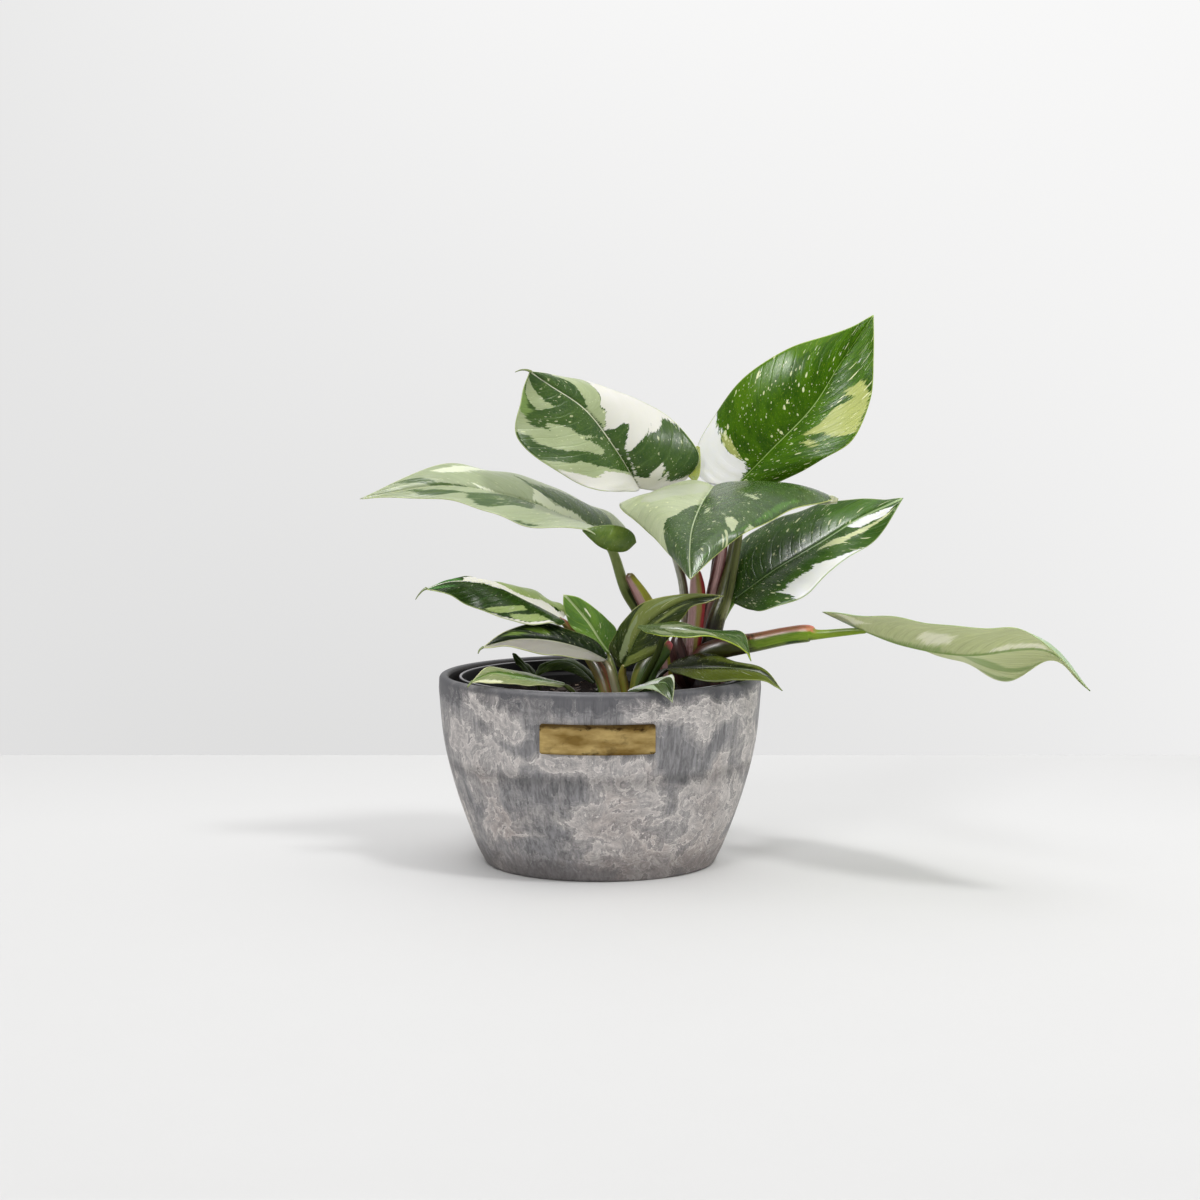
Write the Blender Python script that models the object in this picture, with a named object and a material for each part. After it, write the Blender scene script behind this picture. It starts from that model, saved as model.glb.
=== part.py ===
"""A potted variegated philodendron: a stone-look planter with a blank brass plate, a black nursery
pot standing inside it, the soil, and the plant itself, leaf by leaf.

Units are metres, +Z is up. The origin is the middle of the planter's base, and the plate faces -Y.
Heights, radii and leaf points below are written in millimetres and scaled by MM.
Run it with: blender --background --python part.py
"""

import math

import bpy
import numpy as np
from mathutils import Vector

MM = 0.001
GAP = 0.3  # clearance between pieces that touch

# ---------------------------------------------------------------- planter, millimetres
PLANTER_HEIGHT = 106.0
PLANTER_WALL = 5.3
PLANTER_FLOOR = 6.0
LIP_RADIUS = 2.4  # rounding of the rim
FOOT_RADIUS = 63.0  # flat face that the planter stands on
FOOT_EDGE = (1.4, 0.6)  # small bevel round the foot: out, up
FLOOR_FILLET = (5.0, 6.0)  # slope where the inner floor meets the wall: in, up
QUARTER_STEPS = 4  # points on each quarter circle of the rim
# Outer wall as (radius, height), a bowl that closes in towards its foot.
PLANTER_OUTLINE = [(65.2, 2.0), (70.9, 14.0), (80.5, 41.0), (87.2, 68.0), (90.0, 95.0), (90.0, 103.0)]
ROUND_STEPS = 64  # sides of a turned piece

# ---------------------------------------------------------------- front plate, millimetres
PLATE_WIDTH = 61.0
PLATE_BOTTOM = 73.0
PLATE_TOP = 89.4
PLATE_THICK = 1.0
PLATE_CENTRE_X = -1.3

# ---------------------------------------------------------------- nursery pot and soil, millimetres
NURSERY_TOP = 105.0
NURSERY_WALL = 1.5
NURSERY_BASE_RADIUS = 56.0
NURSERY_NECK_RADIUS = 76.5
NURSERY_RIM_RADIUS = 79.0
NURSERY_RIM_DEPTH = 9.0
NURSERY_RIM_FLARE = 2.5  # height over which the wall widens into its rim
NURSERY_RIM_EDGE = 0.4  # bevel of the rim's top
NURSERY_RIM_STEP = 0.5  # slope under the rim
DRAIN_HOLES = 4
DRAIN_RADIUS = 4.5
DRAIN_CIRCLE = 36.0
DRAIN_SIDES = 12
SOIL_TOP = 91.0
SOIL_SHOULDER = 2.0  # bevel round the soil's top

# ---------------------------------------------------------------- plant, millimetres
BLADE_THICK = 1.0
BLADE_ROWS = 9  # rows of faces from the stalk to the tip
BLADE_COLUMNS = 2  # faces from the midrib to the margin
BLADE_PUFF = 0.10  # how far each half bulges up, as a share of its width
BLADE_SWEEP = 0.10  # how far the veins bow towards the stalk, as a share of the width
BLADE_STRETCH = 1.15  # the midrib runs ahead of the margins near the stalk
MAIN_CROWN = dict(centre=(56.5, 2.0), radii=(12.6, 12.6), top=118.0)
FRONT_CROWN = dict(centre=(13.0, -40.0), radii=(14.5, 9.6), top=98.0)
CROWN_SIDES = 24
CROWN_EDGE = 0.8  # bevel of a crown's rims
SHARP_EDGE = 40  # degrees, above which an edge stays sharp
STALK_STEP = 9.0  # length of one straight piece of a stalk
STALK_ROUNDNESS = 2  # steps that round a quarter of a stalk

# Each blade hangs on three curves, read from the stalk to the tip as (x, y, z): its midrib, and
# its left and right margins from the back of the lobe forwards. All three end at the tip.
BLADES = {
    "top_right": dict(
        midrib=[(77, 20, 210), (96, 14, 230), (119, 14, 254), (136, 22, 280), (155, 34, 306)],
        left=[(55, 28, 213), (57, 34, 235), (78, 26, 267), (106, 22, 287), (137, 27, 297)],
        right=[(91, 13, 208), (115, -3, 221), (138, -6, 235), (151, 8, 259), (154, 22, 283)],
    ),
    "top_left": dict(
        midrib=[(22, 8, 209), (8, 0, 232), (-8, -5, 253), (-28, -11, 267), (-38.5, -20, 274.5)],
        left=[(15, -8, 208), (-2, -22, 210), (-27, -26, 222), (-45, -22, 238), (-44, -18, 258)],
        right=[(48, 9, 212), (55, 9, 229), (34, 20, 252), (11, 18, 262), (-17, 4, 271)],
    ),
    "centre": dict(
        midrib=[(63, -5, 211), (55, -40, 203), (49, -68, 192), (47, -88, 181), (47, -100, 167)],
        left=[(84, 1, 210), (108, -4, 208), (127, -30, 206), (99, -63, 199), (74, -84, 189)],
        right=[(42, 1, 212), (20, -1, 203), (11, -22, 200), (23, -42, 191), (36, -73, 179)],
    ),
    "right": dict(
        midrib=[(75, 0, 147), (97, -6, 164), (123, -8, 180), (144, -6, 193), (169, 0, 204)],
        left=[(72, 16, 152), (78, 22, 176), (99, 19, 190), (120, 12, 199), (145, 3, 203)],
        right=[(78, -17, 145), (90, -32, 144), (112, -36, 154), (132, -28, 170), (154, -10, 183)],
    ),
    "long_left": dict(
        midrib=[(3, 5, 180), (-17, 2, 192), (-46, -2, 204), (-87, -6, 211), (-133, -8, 204)],
        left=[(10, -18, 176), (-8, -31, 188), (-33, -33, 190), (-60, -27, 197), (-89, -16, 205)],
        right=[(17, 22, 185), (0, 33, 196), (-26, 32, 208), (-57, 20, 218), (-89, 4, 222)],
    ),
    "far_right": dict(
        midrib=[(143, -22, 133), (166, -42, 126), (195, -70, 124), (231, -108, 131), (251, -126, 112)],
        left=[(142, 10, 131), (168, -1, 125), (197, -33, 116), (217, -69, 110), (234, -106, 125)],
        right=[(120, -28, 143), (144, -56, 144), (171, -86, 143), (200, -112, 143), (225, -126, 139)],
    ),
    "low_left": dict(
        midrib=[(-21, -30, 139), (-39, -32, 149), (-60, -36, 159), (-80, -40, 161), (-95, -44, 157)],
        left=[(-19, -37, 137), (-28, -46, 138), (-46, -48, 140), (-66, -46, 146), (-81, -44, 153.5)],
        right=[(-18, -24, 144), (-27, -16, 149), (-42, -18, 155), (-60, -26, 159.5), (-78, -36, 162)],
    ),
    "white_edged": dict(
        midrib=[(3, -40, 118), (-9, -42, 124), (-27, -46, 129), (-46, -50, 130), (-64, -54, 126)],
        left=[(2, -46, 117), (-7, -56, 120), (-20, -59, 122), (-35, -58, 124), (-50, -56, 127)],
        right=[(4, -35, 119), (-2, -32, 127), (-17, -34, 134), (-32, -38, 138), (-50, -47, 135)],
    ),
    "young_upright": dict(
        midrib=[(5, -22, 119), (0, -22, 126), (-6, -24, 136), (-13, -27, 145), (-20, -30, 153)],
        left=[(3, -25, 120), (-5, -28, 126), (-13, -29, 132), (-17, -29, 137), (-20, -30, 146)],
        right=[(7, -19, 120), (9, -16, 131), (3, -18, 139), (-5, -22, 146), (-12, -27, 151)],
    ),
    "arching": dict(
        midrib=[(12, -38, 113), (16, -42, 122), (24, -48, 137), (43, -58, 151), (66, -70, 156)],
        left=[(9, -33, 115), (6, -30, 125), (12, -36, 138), (26, -48, 151), (48, -60, 156)],
        right=[(17, -42, 116), (28, -52, 122), (36, -58, 130), (43, -64, 143), (53, -69, 151)],
    ),
    "front_right": dict(
        midrib=[(20, -62, 138), (37, -70, 138), (56, -74, 137), (73, -77, 134), (80, -80, 122)],
        left=[(21, -57, 138), (29, -62, 140), (43, -66, 141), (60, -68, 137), (76, -73, 136)],
        right=[(22, -67, 137), (32, -77, 135), (45, -81, 135), (60, -83, 135), (75, -82, 129)],
    ),
    "rim_right": dict(
        midrib=[(37, -25, 111), (52, -30, 112), (71, -36, 113), (87, -42, 111), (99, -48, 102)],
        left=[(39, -20, 113), (46, -14, 116), (57, -17, 119), (73, -26, 116), (89, -39, 113)],
        right=[(39, -31, 110), (45, -41, 110), (57, -47, 107), (74, -49, 108), (90, -48, 107)],
    ),
    "rim_front": dict(
        midrib=[(15, -66, 104), (22, -74, 107), (29, -82, 110), (35, -89, 111), (38, -97, 102)],
        left=[(16, -62, 104), (21, -62, 106), (27, -68, 109), (33, -77, 113), (39, -90, 115)],
        right=[(16, -70, 104), (21, -79, 106), (26, -86, 108), (31, -92, 107), (36, -96, 104)],
    ),
    "rim_left": dict(
        midrib=[(-19, -45, 105), (-33, -50, 108), (-46, -56, 111), (-58, -62, 113), (-69, -68, 109)],
        left=[(-20, -50, 104), (-29, -58, 106), (-39, -63, 107), (-50, -66, 108), (-60, -68, 109)],
        right=[(-20, -40, 105), (-28, -37, 106), (-38, -41, 110), (-50, -50, 114), (-61, -60, 116)],
    ),
    "back_sprout": dict(
        midrib=[(-36, 10, 102), (-39, 8, 105), (-42, 6, 109), (-46, 4, 113), (-49, 2, 117)],
        left=[(-37, 8, 103), (-40, 4, 104), (-44, 3, 108), (-47, 3, 111), (-49, 2, 115)],
        right=[(-35, 12, 103), (-37, 13, 105), (-40, 11, 109), (-44, 8, 112), (-47, 4, 116)],
    ),
    "soil_back": dict(
        midrib=[(-3, 0, 100), (-10, -4, 108), (-18, -8, 113), (-28, -14, 113), (-36, -20, 107)],
        left=[(-4, -4, 100), (-11, -10, 105), (-19, -14, 109), (-28, -17, 109), (-34, -20, 107)],
        right=[(-2, 4, 101), (-6, 5, 107), (-15, 2, 113), (-25, -6, 114), (-33, -15, 112)],
    ),
}

MAIN_FOOT = MAIN_CROWN["top"] + GAP
FRONT_FOOT = FRONT_CROWN["top"] + GAP
SOIL_FOOT = SOIL_TOP + GAP

# Leaf stalks and rolled sheaths: a route from the foot up, and the radius at each of its points.
STALKS = {
    "petiole_top_right": (
        [(60.5, -4, MAIN_FOOT), (64, -2, 136), (69, 2, 151), (75.5, 8, 178), (78, 13, 196), (77, 17, 205)],
        [4.6, 4.5, 3.9, 3.4, 2.7, 2.3],
    ),
    "petiole_top_left": (
        [(49, 8, MAIN_FOOT), (46, 10, 151), (41, 11, 167), (32, 10, 188), (25, 9, 202)],
        [2.8, 2.6, 2.4, 2.2, 2.0],
    ),
    "petiole_centre": (
        [(57, 5, MAIN_FOOT), (63, 7, 150), (68, 1, 176), (68, -2, 195), (64.5, -3.5, 206)],
        [2.7, 2.5, 2.4, 2.2, 2.0],
    ),
    "petiole_right": (
        [(65, 6.5, MAIN_FOOT), (65.5, 8, 128), (69.5, 6.5, 138), (73.5, 3, 144.5)],
        [2.4, 2.3, 2.1, 1.8],
    ),
    "petiole_far_right": (
        [(71, -4, 114), (87, -7.5, 124), (103.6, -11, 128), (115.2, -14.5, 129.8), (121, -16.5, 129.4),
         (140, -21, 131.6)],
        [5.0, 5.2, 4.9, 4.6, 2.7, 1.7],
    ),
    "petiole_long_left": (
        [(40, 13, SOIL_FOOT), (36.5, 12, 112), (29, 11, 126), (20.8, 9.5, 141), (14, 7.5, 153), (7, 5, 174)],
        [3.4, 3.4, 3.2, 3.1, 3.0, 2.4],
    ),
    "petiole_low_left": (
        [(4, -38, FRONT_FOOT), (0, -33, 110), (-6, -28, 119), (-13, -25, 130), (-18.5, -27, 136)],
        [3.2, 3.1, 2.6, 2.0, 1.6],
    ),
    "petiole_white_edged": (
        [(9.5, -45, FRONT_FOOT), (6.5, -43, 110), (4.5, -41, 115)],
        [2.6, 2.2, 1.7],
    ),
    "petiole_young_upright": (
        [(9.5, -33.5, FRONT_FOOT), (7.5, -27, 110), (5.6, -22.5, 116)],
        [2.0, 1.8, 1.5],
    ),
    "petiole_arching": (
        [(14, -38.5, FRONT_FOOT), (12.8, -38, 106), (12.2, -37.8, 110)],
        [2.2, 2.0, 1.8],
    ),
    "petiole_front_right": (
        [(19.5, -47, FRONT_FOOT), (25, -52, 111), (31, -60, 124), (34, -66.5, 134.5)],
        [1.8, 1.7, 1.6, 1.4],
    ),
    "petiole_rim_right": (
        [(27, -27, SOIL_FOOT), (30, -27, 104), (34.5, -25.5, 109.5)],
        [1.8, 1.7, 1.5],
    ),
    "petiole_rim_front": (
        [(16, -53, SOIL_FOOT), (14, -60, 98.5), (14.2, -63.5, 101.5)],
        [1.6, 1.5, 1.4],
    ),
    "petiole_rim_left": (
        [(-12, -38, SOIL_FOOT), (-14, -40, 99), (-17, -43.5, 103)],
        [1.6, 1.5, 1.4],
    ),
    "petiole_back_sprout": (
        [(-34, 13, SOIL_FOOT), (-34.5, 11.8, 96), (-35.3, 10.7, 100)],
        [1.0, 1.0, 0.9],
    ),
    "petiole_soil_back": (
        [(0, 3, SOIL_FOOT), (-1, 2, 94), (-1.8, 1.2, 97)],
        [1.5, 1.5, 1.4],
    ),
    "sheath_main": (
        [(51.5, -6, MAIN_FOOT), (53, -6.5, 135), (54, -6, 152), (53, -6, 165)],
        [3.4, 3.6, 3.6, 2.0],
    ),
    "sheath_left": (
        [(38, 2, SOIL_FOOT), (37.5, 2, 112), (31, 3, 134), (24.5, 2, 147), (15.4, 1, 162)],
        [3.0, 3.1, 3.1, 2.9, 1.5],
    ),
    "sheath_front": (
        [(22, -40.5, FRONT_FOOT), (25, -38, 112), (34, -34, 122), (39, -32, 127)],
        [4.4, 4.4, 3.2, 1.2],
    ),
    "spent_stalk": (
        [(57, 12, MAIN_FOOT), (62, 13, 150), (65, 13, 173), (67, 12, 188)],
        [1.5, 1.4, 1.3, 0.9],
    ),
}

# Colours are linear, then roughness and metallic.
FINISHES = {
    "stone": ((0.22, 0.22, 0.23), 0.6, 0.0),
    "brass": ((0.58, 0.40, 0.14), 0.3, 1.0),
    "black_plastic": ((0.008, 0.008, 0.010), 0.35, 0.0),
    "soil": ((0.018, 0.012, 0.009), 0.95, 0.0),
    "leaf_bright": ((0.06, 0.26, 0.02), 0.35, 0.0),
    "leaf_dark": ((0.03, 0.12, 0.03), 0.35, 0.0),
    "leaf_pale": ((0.36, 0.46, 0.26), 0.4, 0.0),
    "stalk_green": ((0.10, 0.16, 0.03), 0.4, 0.0),
    "stalk_pink": ((0.42, 0.22, 0.22), 0.4, 0.0),
    "stalk_brown": ((0.07, 0.03, 0.025), 0.5, 0.0),
}
BLADE_FINISH = {"top_right": "leaf_bright", "young_upright": "leaf_bright", "far_right": "leaf_pale",
                "long_left": "leaf_pale", "rim_front": "leaf_pale", "rim_left": "leaf_pale"}
STALK_FINISH = {"petiole_centre": "stalk_pink", "sheath_main": "stalk_pink", "sheath_left": "stalk_pink",
                "spent_stalk": "stalk_brown"}


def clear_scene():
    for item in list(bpy.data.objects):
        bpy.data.objects.remove(item)


def finish(name):
    """The material of this name, made once."""
    if name in bpy.data.materials:
        return bpy.data.materials[name]
    colour, roughness, metallic = FINISHES[name]
    made = bpy.data.materials.new(name)
    made.use_nodes = True
    shader = made.node_tree.nodes["Principled BSDF"]
    shader.inputs["Base Color"].default_value = (*colour, 1.0)
    shader.inputs["Roughness"].default_value = roughness
    shader.inputs["Metallic"].default_value = metallic
    made.diffuse_color = (*colour, 1.0)
    return made


def smooth_curve(points, shares):
    """Points of a Catmull-Rom curve through `points`, at shares 0..1 of its spans."""
    points = np.asarray(points, float)
    points = np.vstack([2 * points[0] - points[1], points, 2 * points[-1] - points[-2]])
    spans = len(points) - 3
    place = np.clip(shares, 0, 1) * spans
    first = np.minimum(place.astype(int), spans - 1)
    t = (place - first)[:, None]
    a, b, c, d = (points[first + i] for i in range(4))
    return 0.5 * (2 * b + (c - a) * t + (2 * a - 5 * b + 4 * c - d) * t**2 + (3 * b - 3 * c + d - a) * t**3)


def add_object(name, data, look):
    made = bpy.data.objects.new(name, data)
    data.materials.append(finish(look))
    bpy.context.scene.collection.objects.link(made)
    return made


def turned(name, profile, look):
    """A closed solid of revolution. The profile, (radius, height) in millimetres, runs from the
    inside out over the top, then down the outer side."""
    mesh = bpy.data.meshes.new(name)
    points = [(radius * MM, 0, height * MM) for radius, height in profile]
    mesh.from_pydata(points, [(i, i + 1) for i in range(len(points) - 1)], [])
    made = add_object(name, mesh, look)
    screw = made.modifiers.new("turn", "SCREW")
    screw.steps = screw.render_steps = ROUND_STEPS
    screw.use_merge_vertices = True
    screw.merge_threshold = 0.00001
    screw.use_smooth_shade = True
    return made


def outer_radius(height):
    """Radius of the planter's outer wall at a height, both in millimetres."""
    curve = smooth_curve(PLANTER_OUTLINE, np.linspace(0, 1, 200))
    return float(np.interp(height, curve[:, 1], curve[:, 0]))


def make_planter():
    outer = smooth_curve(PLANTER_OUTLINE, np.linspace(0, 1, 11))
    lip_centre = PLANTER_HEIGHT - LIP_RADIUS
    outer = [(r, z) for r, z in outer if z < lip_centre - 1]
    inner_rim = outer_radius(lip_centre) - PLANTER_WALL
    inner = [(r - PLANTER_WALL, z) for r, z in outer if z > PLANTER_FLOOR + FLOOR_FILLET[1]]
    profile = [(0, PLANTER_FLOOR), (inner[0][0] - FLOOR_FILLET[0], PLANTER_FLOOR), *inner]
    quarter = np.linspace(0, math.pi / 2, QUARTER_STEPS)
    profile += [(inner_rim + LIP_RADIUS * (1 - math.cos(a)), lip_centre + LIP_RADIUS * math.sin(a))
                for a in quarter]
    outer_rim = outer_radius(lip_centre)
    profile += [(outer_rim - LIP_RADIUS * (1 - math.sin(a)), lip_centre + LIP_RADIUS * math.cos(a))
                for a in quarter]
    profile += outer[::-1]
    profile += [(FOOT_RADIUS + FOOT_EDGE[0], FOOT_EDGE[1]), (FOOT_RADIUS, 0), (0, 0)]
    return turned("planter", profile, "stone")


def make_plate():
    """A blank brass plate bent to the planter's wall, which leans out towards the rim."""
    columns, rows = 14, 2
    reach = PLATE_WIDTH / 2 / outer_radius((PLATE_BOTTOM + PLATE_TOP) / 2)
    points = []
    for row in range(rows + 1):
        height = PLATE_BOTTOM + (PLATE_TOP - PLATE_BOTTOM) * row / rows
        radius = outer_radius(height) + GAP
        for column in range(columns + 1):
            angle = reach * (2 * column / columns - 1)
            across = radius * math.sin(angle) + PLATE_CENTRE_X
            points.append((across * MM, -math.sqrt(radius**2 - across**2) * MM, height * MM))
    wide = columns + 1
    faces = [(r * wide + c, r * wide + c + 1, (r + 1) * wide + c + 1, (r + 1) * wide + c)
             for r in range(rows) for c in range(columns)]
    mesh = bpy.data.meshes.new("front_plate")
    mesh.from_pydata(points, [], faces)
    plate = add_object("front_plate", mesh, "brass")
    shell = plate.modifiers.new("thickness", "SOLIDIFY")
    shell.thickness = PLATE_THICK * MM
    shell.offset = 1
    return plate


def make_nursery_pot():
    bottom = PLANTER_FLOOR + GAP
    rim_foot = NURSERY_TOP - NURSERY_RIM_DEPTH
    wall = NURSERY_WALL
    profile = [
        (0, bottom + wall), (NURSERY_BASE_RADIUS - wall, bottom + wall),
        (NURSERY_NECK_RADIUS - wall, rim_foot), (NURSERY_RIM_RADIUS - wall, rim_foot + NURSERY_RIM_FLARE),
        (NURSERY_RIM_RADIUS - wall, NURSERY_TOP - NURSERY_RIM_EDGE), (NURSERY_RIM_RADIUS - wall / 2, NURSERY_TOP),
        (NURSERY_RIM_RADIUS, NURSERY_TOP - NURSERY_RIM_EDGE), (NURSERY_RIM_RADIUS, rim_foot),
        (NURSERY_NECK_RADIUS, rim_foot - NURSERY_RIM_STEP), (NURSERY_BASE_RADIUS, bottom), (0, bottom),
    ]
    pot = turned("nursery_pot", profile, "black_plastic")
    for number in range(DRAIN_HOLES):
        angle = math.tau * (number + 0.5) / DRAIN_HOLES
        bpy.ops.mesh.primitive_cylinder_add(
            vertices=DRAIN_SIDES, radius=DRAIN_RADIUS * MM, depth=4 * wall * MM,
            location=(DRAIN_CIRCLE * math.cos(angle) * MM, DRAIN_CIRCLE * math.sin(angle) * MM, bottom * MM),
        )
        cutter = bpy.context.object
        cutter.name = f"drain_cutter_{number}"
        cutter.hide_render = True
        cutter.display_type = "WIRE"
        hole = pot.modifiers.new(f"drain_{number}", "BOOLEAN")
        hole.operation = "DIFFERENCE"
        hole.object = cutter
    return pot


def make_soil():
    bottom = PLANTER_FLOOR + GAP + NURSERY_WALL + GAP
    rim_foot = NURSERY_TOP - NURSERY_RIM_DEPTH
    base = NURSERY_BASE_RADIUS - NURSERY_WALL - 2 * GAP
    neck = NURSERY_NECK_RADIUS - NURSERY_WALL - 2 * GAP
    top = base + (neck - base) * (SOIL_TOP - bottom) / (rim_foot - bottom)
    return turned("soil", [(0, SOIL_TOP), (top - SOIL_SHOULDER, SOIL_TOP), (top, SOIL_TOP - SOIL_SHOULDER), (base, bottom), (0, bottom)],
                  "soil")


def make_crown(name, centre, radii, top):
    """The short thick stem that the leaf stalks rise from, oval in plan."""
    bottom = SOIL_TOP + GAP
    bpy.ops.mesh.primitive_cylinder_add(vertices=CROWN_SIDES, radius=1, depth=(top - bottom) * MM)
    crown = bpy.context.object
    crown.name = name
    crown.location = (centre[0] * MM, centre[1] * MM, (top + bottom) / 2 * MM)
    crown.scale = (radii[0] * MM, radii[1] * MM, 1)
    bpy.ops.object.transform_apply(location=False, rotation=False, scale=True)
    crown.data.materials.append(finish("stalk_brown"))
    soften = crown.modifiers.new("edge", "BEVEL")
    soften.width = CROWN_EDGE * MM
    soften.segments = 1
    soften.limit_method = "ANGLE"
    crown.data.shade_smooth()
    crown.data.set_sharp_from_angle(angle=math.radians(SHARP_EDGE))
    return crown


def make_stalk(name, route, radii):
    """A tapering tube along a smooth curve through the route's points. Its foot is raised where it
    leans, so that the low edge of its end clears what it stands on."""
    length = sum(math.dist(a, b) for a, b in zip(route, route[1:]))
    count = max(4, round(length / STALK_STEP))
    shares = np.linspace(0, 1, count + 1)
    points = smooth_curve(route, shares)
    lean = points[1] - points[0]
    points[0, 2] += radii[0] * math.hypot(lean[0], lean[1]) / np.linalg.norm(lean)
    widths = np.interp(shares * (len(radii) - 1), range(len(radii)), radii)
    curve = bpy.data.curves.new(name, "CURVE")
    curve.dimensions = "3D"
    curve.bevel_depth = MM
    curve.bevel_resolution = STALK_ROUNDNESS
    curve.use_fill_caps = True
    spline = curve.splines.new("POLY")
    spline.points.add(count)
    for point, place, width in zip(spline.points, points, widths):
        point.co = (*(place * MM), 1)
        point.radius = width
    return add_object(name, curve, STALK_FINISH.get(name, "stalk_green"))


def half_blade(midrib, margin, towards_left):
    """Rows of points from the midrib to one margin, as an array [row, column, xyz]."""
    shares = np.linspace(0, 1, BLADE_ROWS + 1)
    spine = smooth_curve(midrib, shares**BLADE_STRETCH)
    edge = smooth_curve([*margin, midrib[-1]], shares)
    forward = np.gradient(spine, axis=0)
    forward /= np.linalg.norm(forward, axis=1, keepdims=True)
    out = edge - spine
    width = np.linalg.norm(out, axis=1, keepdims=True)
    up = np.cross(forward, out) if towards_left else np.cross(out, forward)
    up /= np.maximum(np.linalg.norm(up, axis=1, keepdims=True), 1e-9)
    v = np.linspace(0, 1, BLADE_COLUMNS + 1)[None, :, None]
    bow = (up * BLADE_PUFF - forward * BLADE_SWEEP) * width
    return spine[:, None] * (1 - v) + edge[:, None] * v + bow[:, None] * 4 * v * (1 - v)


def make_blade(name, midrib, left, right):
    """One leaf blade: both halves share the midrib, and the last row closes in the tip."""
    left_half = half_blade(midrib, left, True)
    right_half = half_blade(midrib, right, False)
    rows = np.concatenate([left_half[:, :0:-1], right_half], axis=1)[:-1]
    count, wide = rows.shape[:2]
    points = [tuple(p * MM) for p in rows.reshape(-1, 3)]
    points.append(tuple(Vector(midrib[-1]) * MM))
    tip = len(points) - 1
    faces = [(r * wide + c, r * wide + c + 1, (r + 1) * wide + c + 1, (r + 1) * wide + c)
             for r in range(count - 1) for c in range(wide - 1)]
    last = (count - 1) * wide
    faces += [(last + c, last + c + 1, tip) for c in range(wide - 1)]
    mesh = bpy.data.meshes.new("leaf_" + name)
    mesh.from_pydata(points, [], faces)
    mesh.shade_smooth()
    leaf = add_object("leaf_" + name, mesh, BLADE_FINISH.get(name, "leaf_dark"))
    shell = leaf.modifiers.new("thickness", "SOLIDIFY")
    shell.thickness = BLADE_THICK * MM
    shell.offset = 0
    return leaf


clear_scene()
make_planter()
make_plate()
make_nursery_pot()
make_soil()
make_crown("crown_main", **MAIN_CROWN)
make_crown("crown_front", **FRONT_CROWN)
for blade_name, curves in BLADES.items():
    make_blade(blade_name, **curves)
for stalk_name, (stalk_route, stalk_radii) in STALKS.items():
    make_stalk(stalk_name, stalk_route, stalk_radii)
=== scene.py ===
# %% [markdown]
# # A potted variegated philodendron, dressed for its portrait
#
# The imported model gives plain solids: a bowl, a nursery pot, soil, sixteen leaves and their stalks.
# This lesson keeps those solids as a fixed frame and builds over them what the eye wants to see,
# one piece at a time: stone with pale veins, worn brass, glossy striped leaves and damp soil.

# %% Load the fixed frame
import math
import random
import re

import bpy
import numpy as np
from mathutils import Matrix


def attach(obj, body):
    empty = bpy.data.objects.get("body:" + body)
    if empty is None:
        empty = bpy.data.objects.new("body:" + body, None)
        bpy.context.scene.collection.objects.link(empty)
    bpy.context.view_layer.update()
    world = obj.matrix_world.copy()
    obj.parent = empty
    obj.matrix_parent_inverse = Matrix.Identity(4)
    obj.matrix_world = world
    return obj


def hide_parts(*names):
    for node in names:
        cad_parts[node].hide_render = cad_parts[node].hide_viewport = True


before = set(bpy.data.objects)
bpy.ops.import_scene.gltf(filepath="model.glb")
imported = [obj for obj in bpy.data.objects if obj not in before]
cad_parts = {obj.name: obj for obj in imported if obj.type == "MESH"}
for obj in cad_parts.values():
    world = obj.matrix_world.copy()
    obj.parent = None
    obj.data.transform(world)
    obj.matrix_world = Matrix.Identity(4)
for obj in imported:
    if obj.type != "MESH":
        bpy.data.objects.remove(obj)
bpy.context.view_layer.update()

bpy.ops.object.select_all(action="DESELECT")
MM = 0.001  # the pieces below are drawn in millimetres
print("nodes in the frame:", len(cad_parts))

# %% [markdown]
# ## Camera, floor and daylight
#
# The plant is seen from a little above its leaves, with a long lens, so the pot keeps its shape.
# The floor is a plain pale sheet that ends behind the pot, where the pale surroundings take over.
# It could be a curved backdrop, but a wall would hide the plant from behind. One strong lamp stands
# to the right, a softer one in front and a wide one above. Two sheen lamps only show in the gloss
# of the leaves: they could be real windows, but then they would also wash out the shadows.

# %% Camera, floor, lamps and world
CAMERA_PLACE = (0.0, -1.444, 0.283)
CAMERA_TILT = 5.38  # degrees below the horizon
LENS, SENSOR = 77.82, 36
FLOOR_BACK, FLOOR_SIZE = 0.384, 6.0
LAMPS = [  # name, place and the point that it faces, in metres, size, watts, seen only in gloss
    ("key", (0.77, -0.80, 1.81), (0, 0, 0.1), 0.28, 12.8, False),
    ("front", (-0.4, -1.40, 1.50), (0, 0, 0.15), 0.5, 8.5, False),
    ("top", (0.0, -0.15, 1.9), (0, 0, 0.1), 1.2, 6.8, False),
    ("sheen_high", (-0.60, -1.20, 1.70), (0.1, 0, 0.25), 0.45, 60, True),
    ("sheen_low", (-0.82, -0.26, 1.93), (0.1, 0, 0.25), 0.22, 3.2, True),
]


def new_object(name, data):
    made = bpy.data.objects.new(name, data)
    bpy.context.scene.collection.objects.link(made)
    return made


def softbox(name, place, aim, size, watts, gloss_only):
    """A square lamp at a place, turned to face a point."""
    lamp = new_object(name, bpy.data.lights.new(name, "AREA"))
    lamp.data.size, lamp.data.energy = size, watts
    lamp.location = place
    x, y, z = np.subtract(aim, place)
    lamp.rotation_euler = (math.atan2(math.hypot(x, y), -z), 0, math.atan2(y, x) - math.pi / 2)
    if gloss_only:
        lamp.visible_diffuse = lamp.data.use_shadow = False


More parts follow.
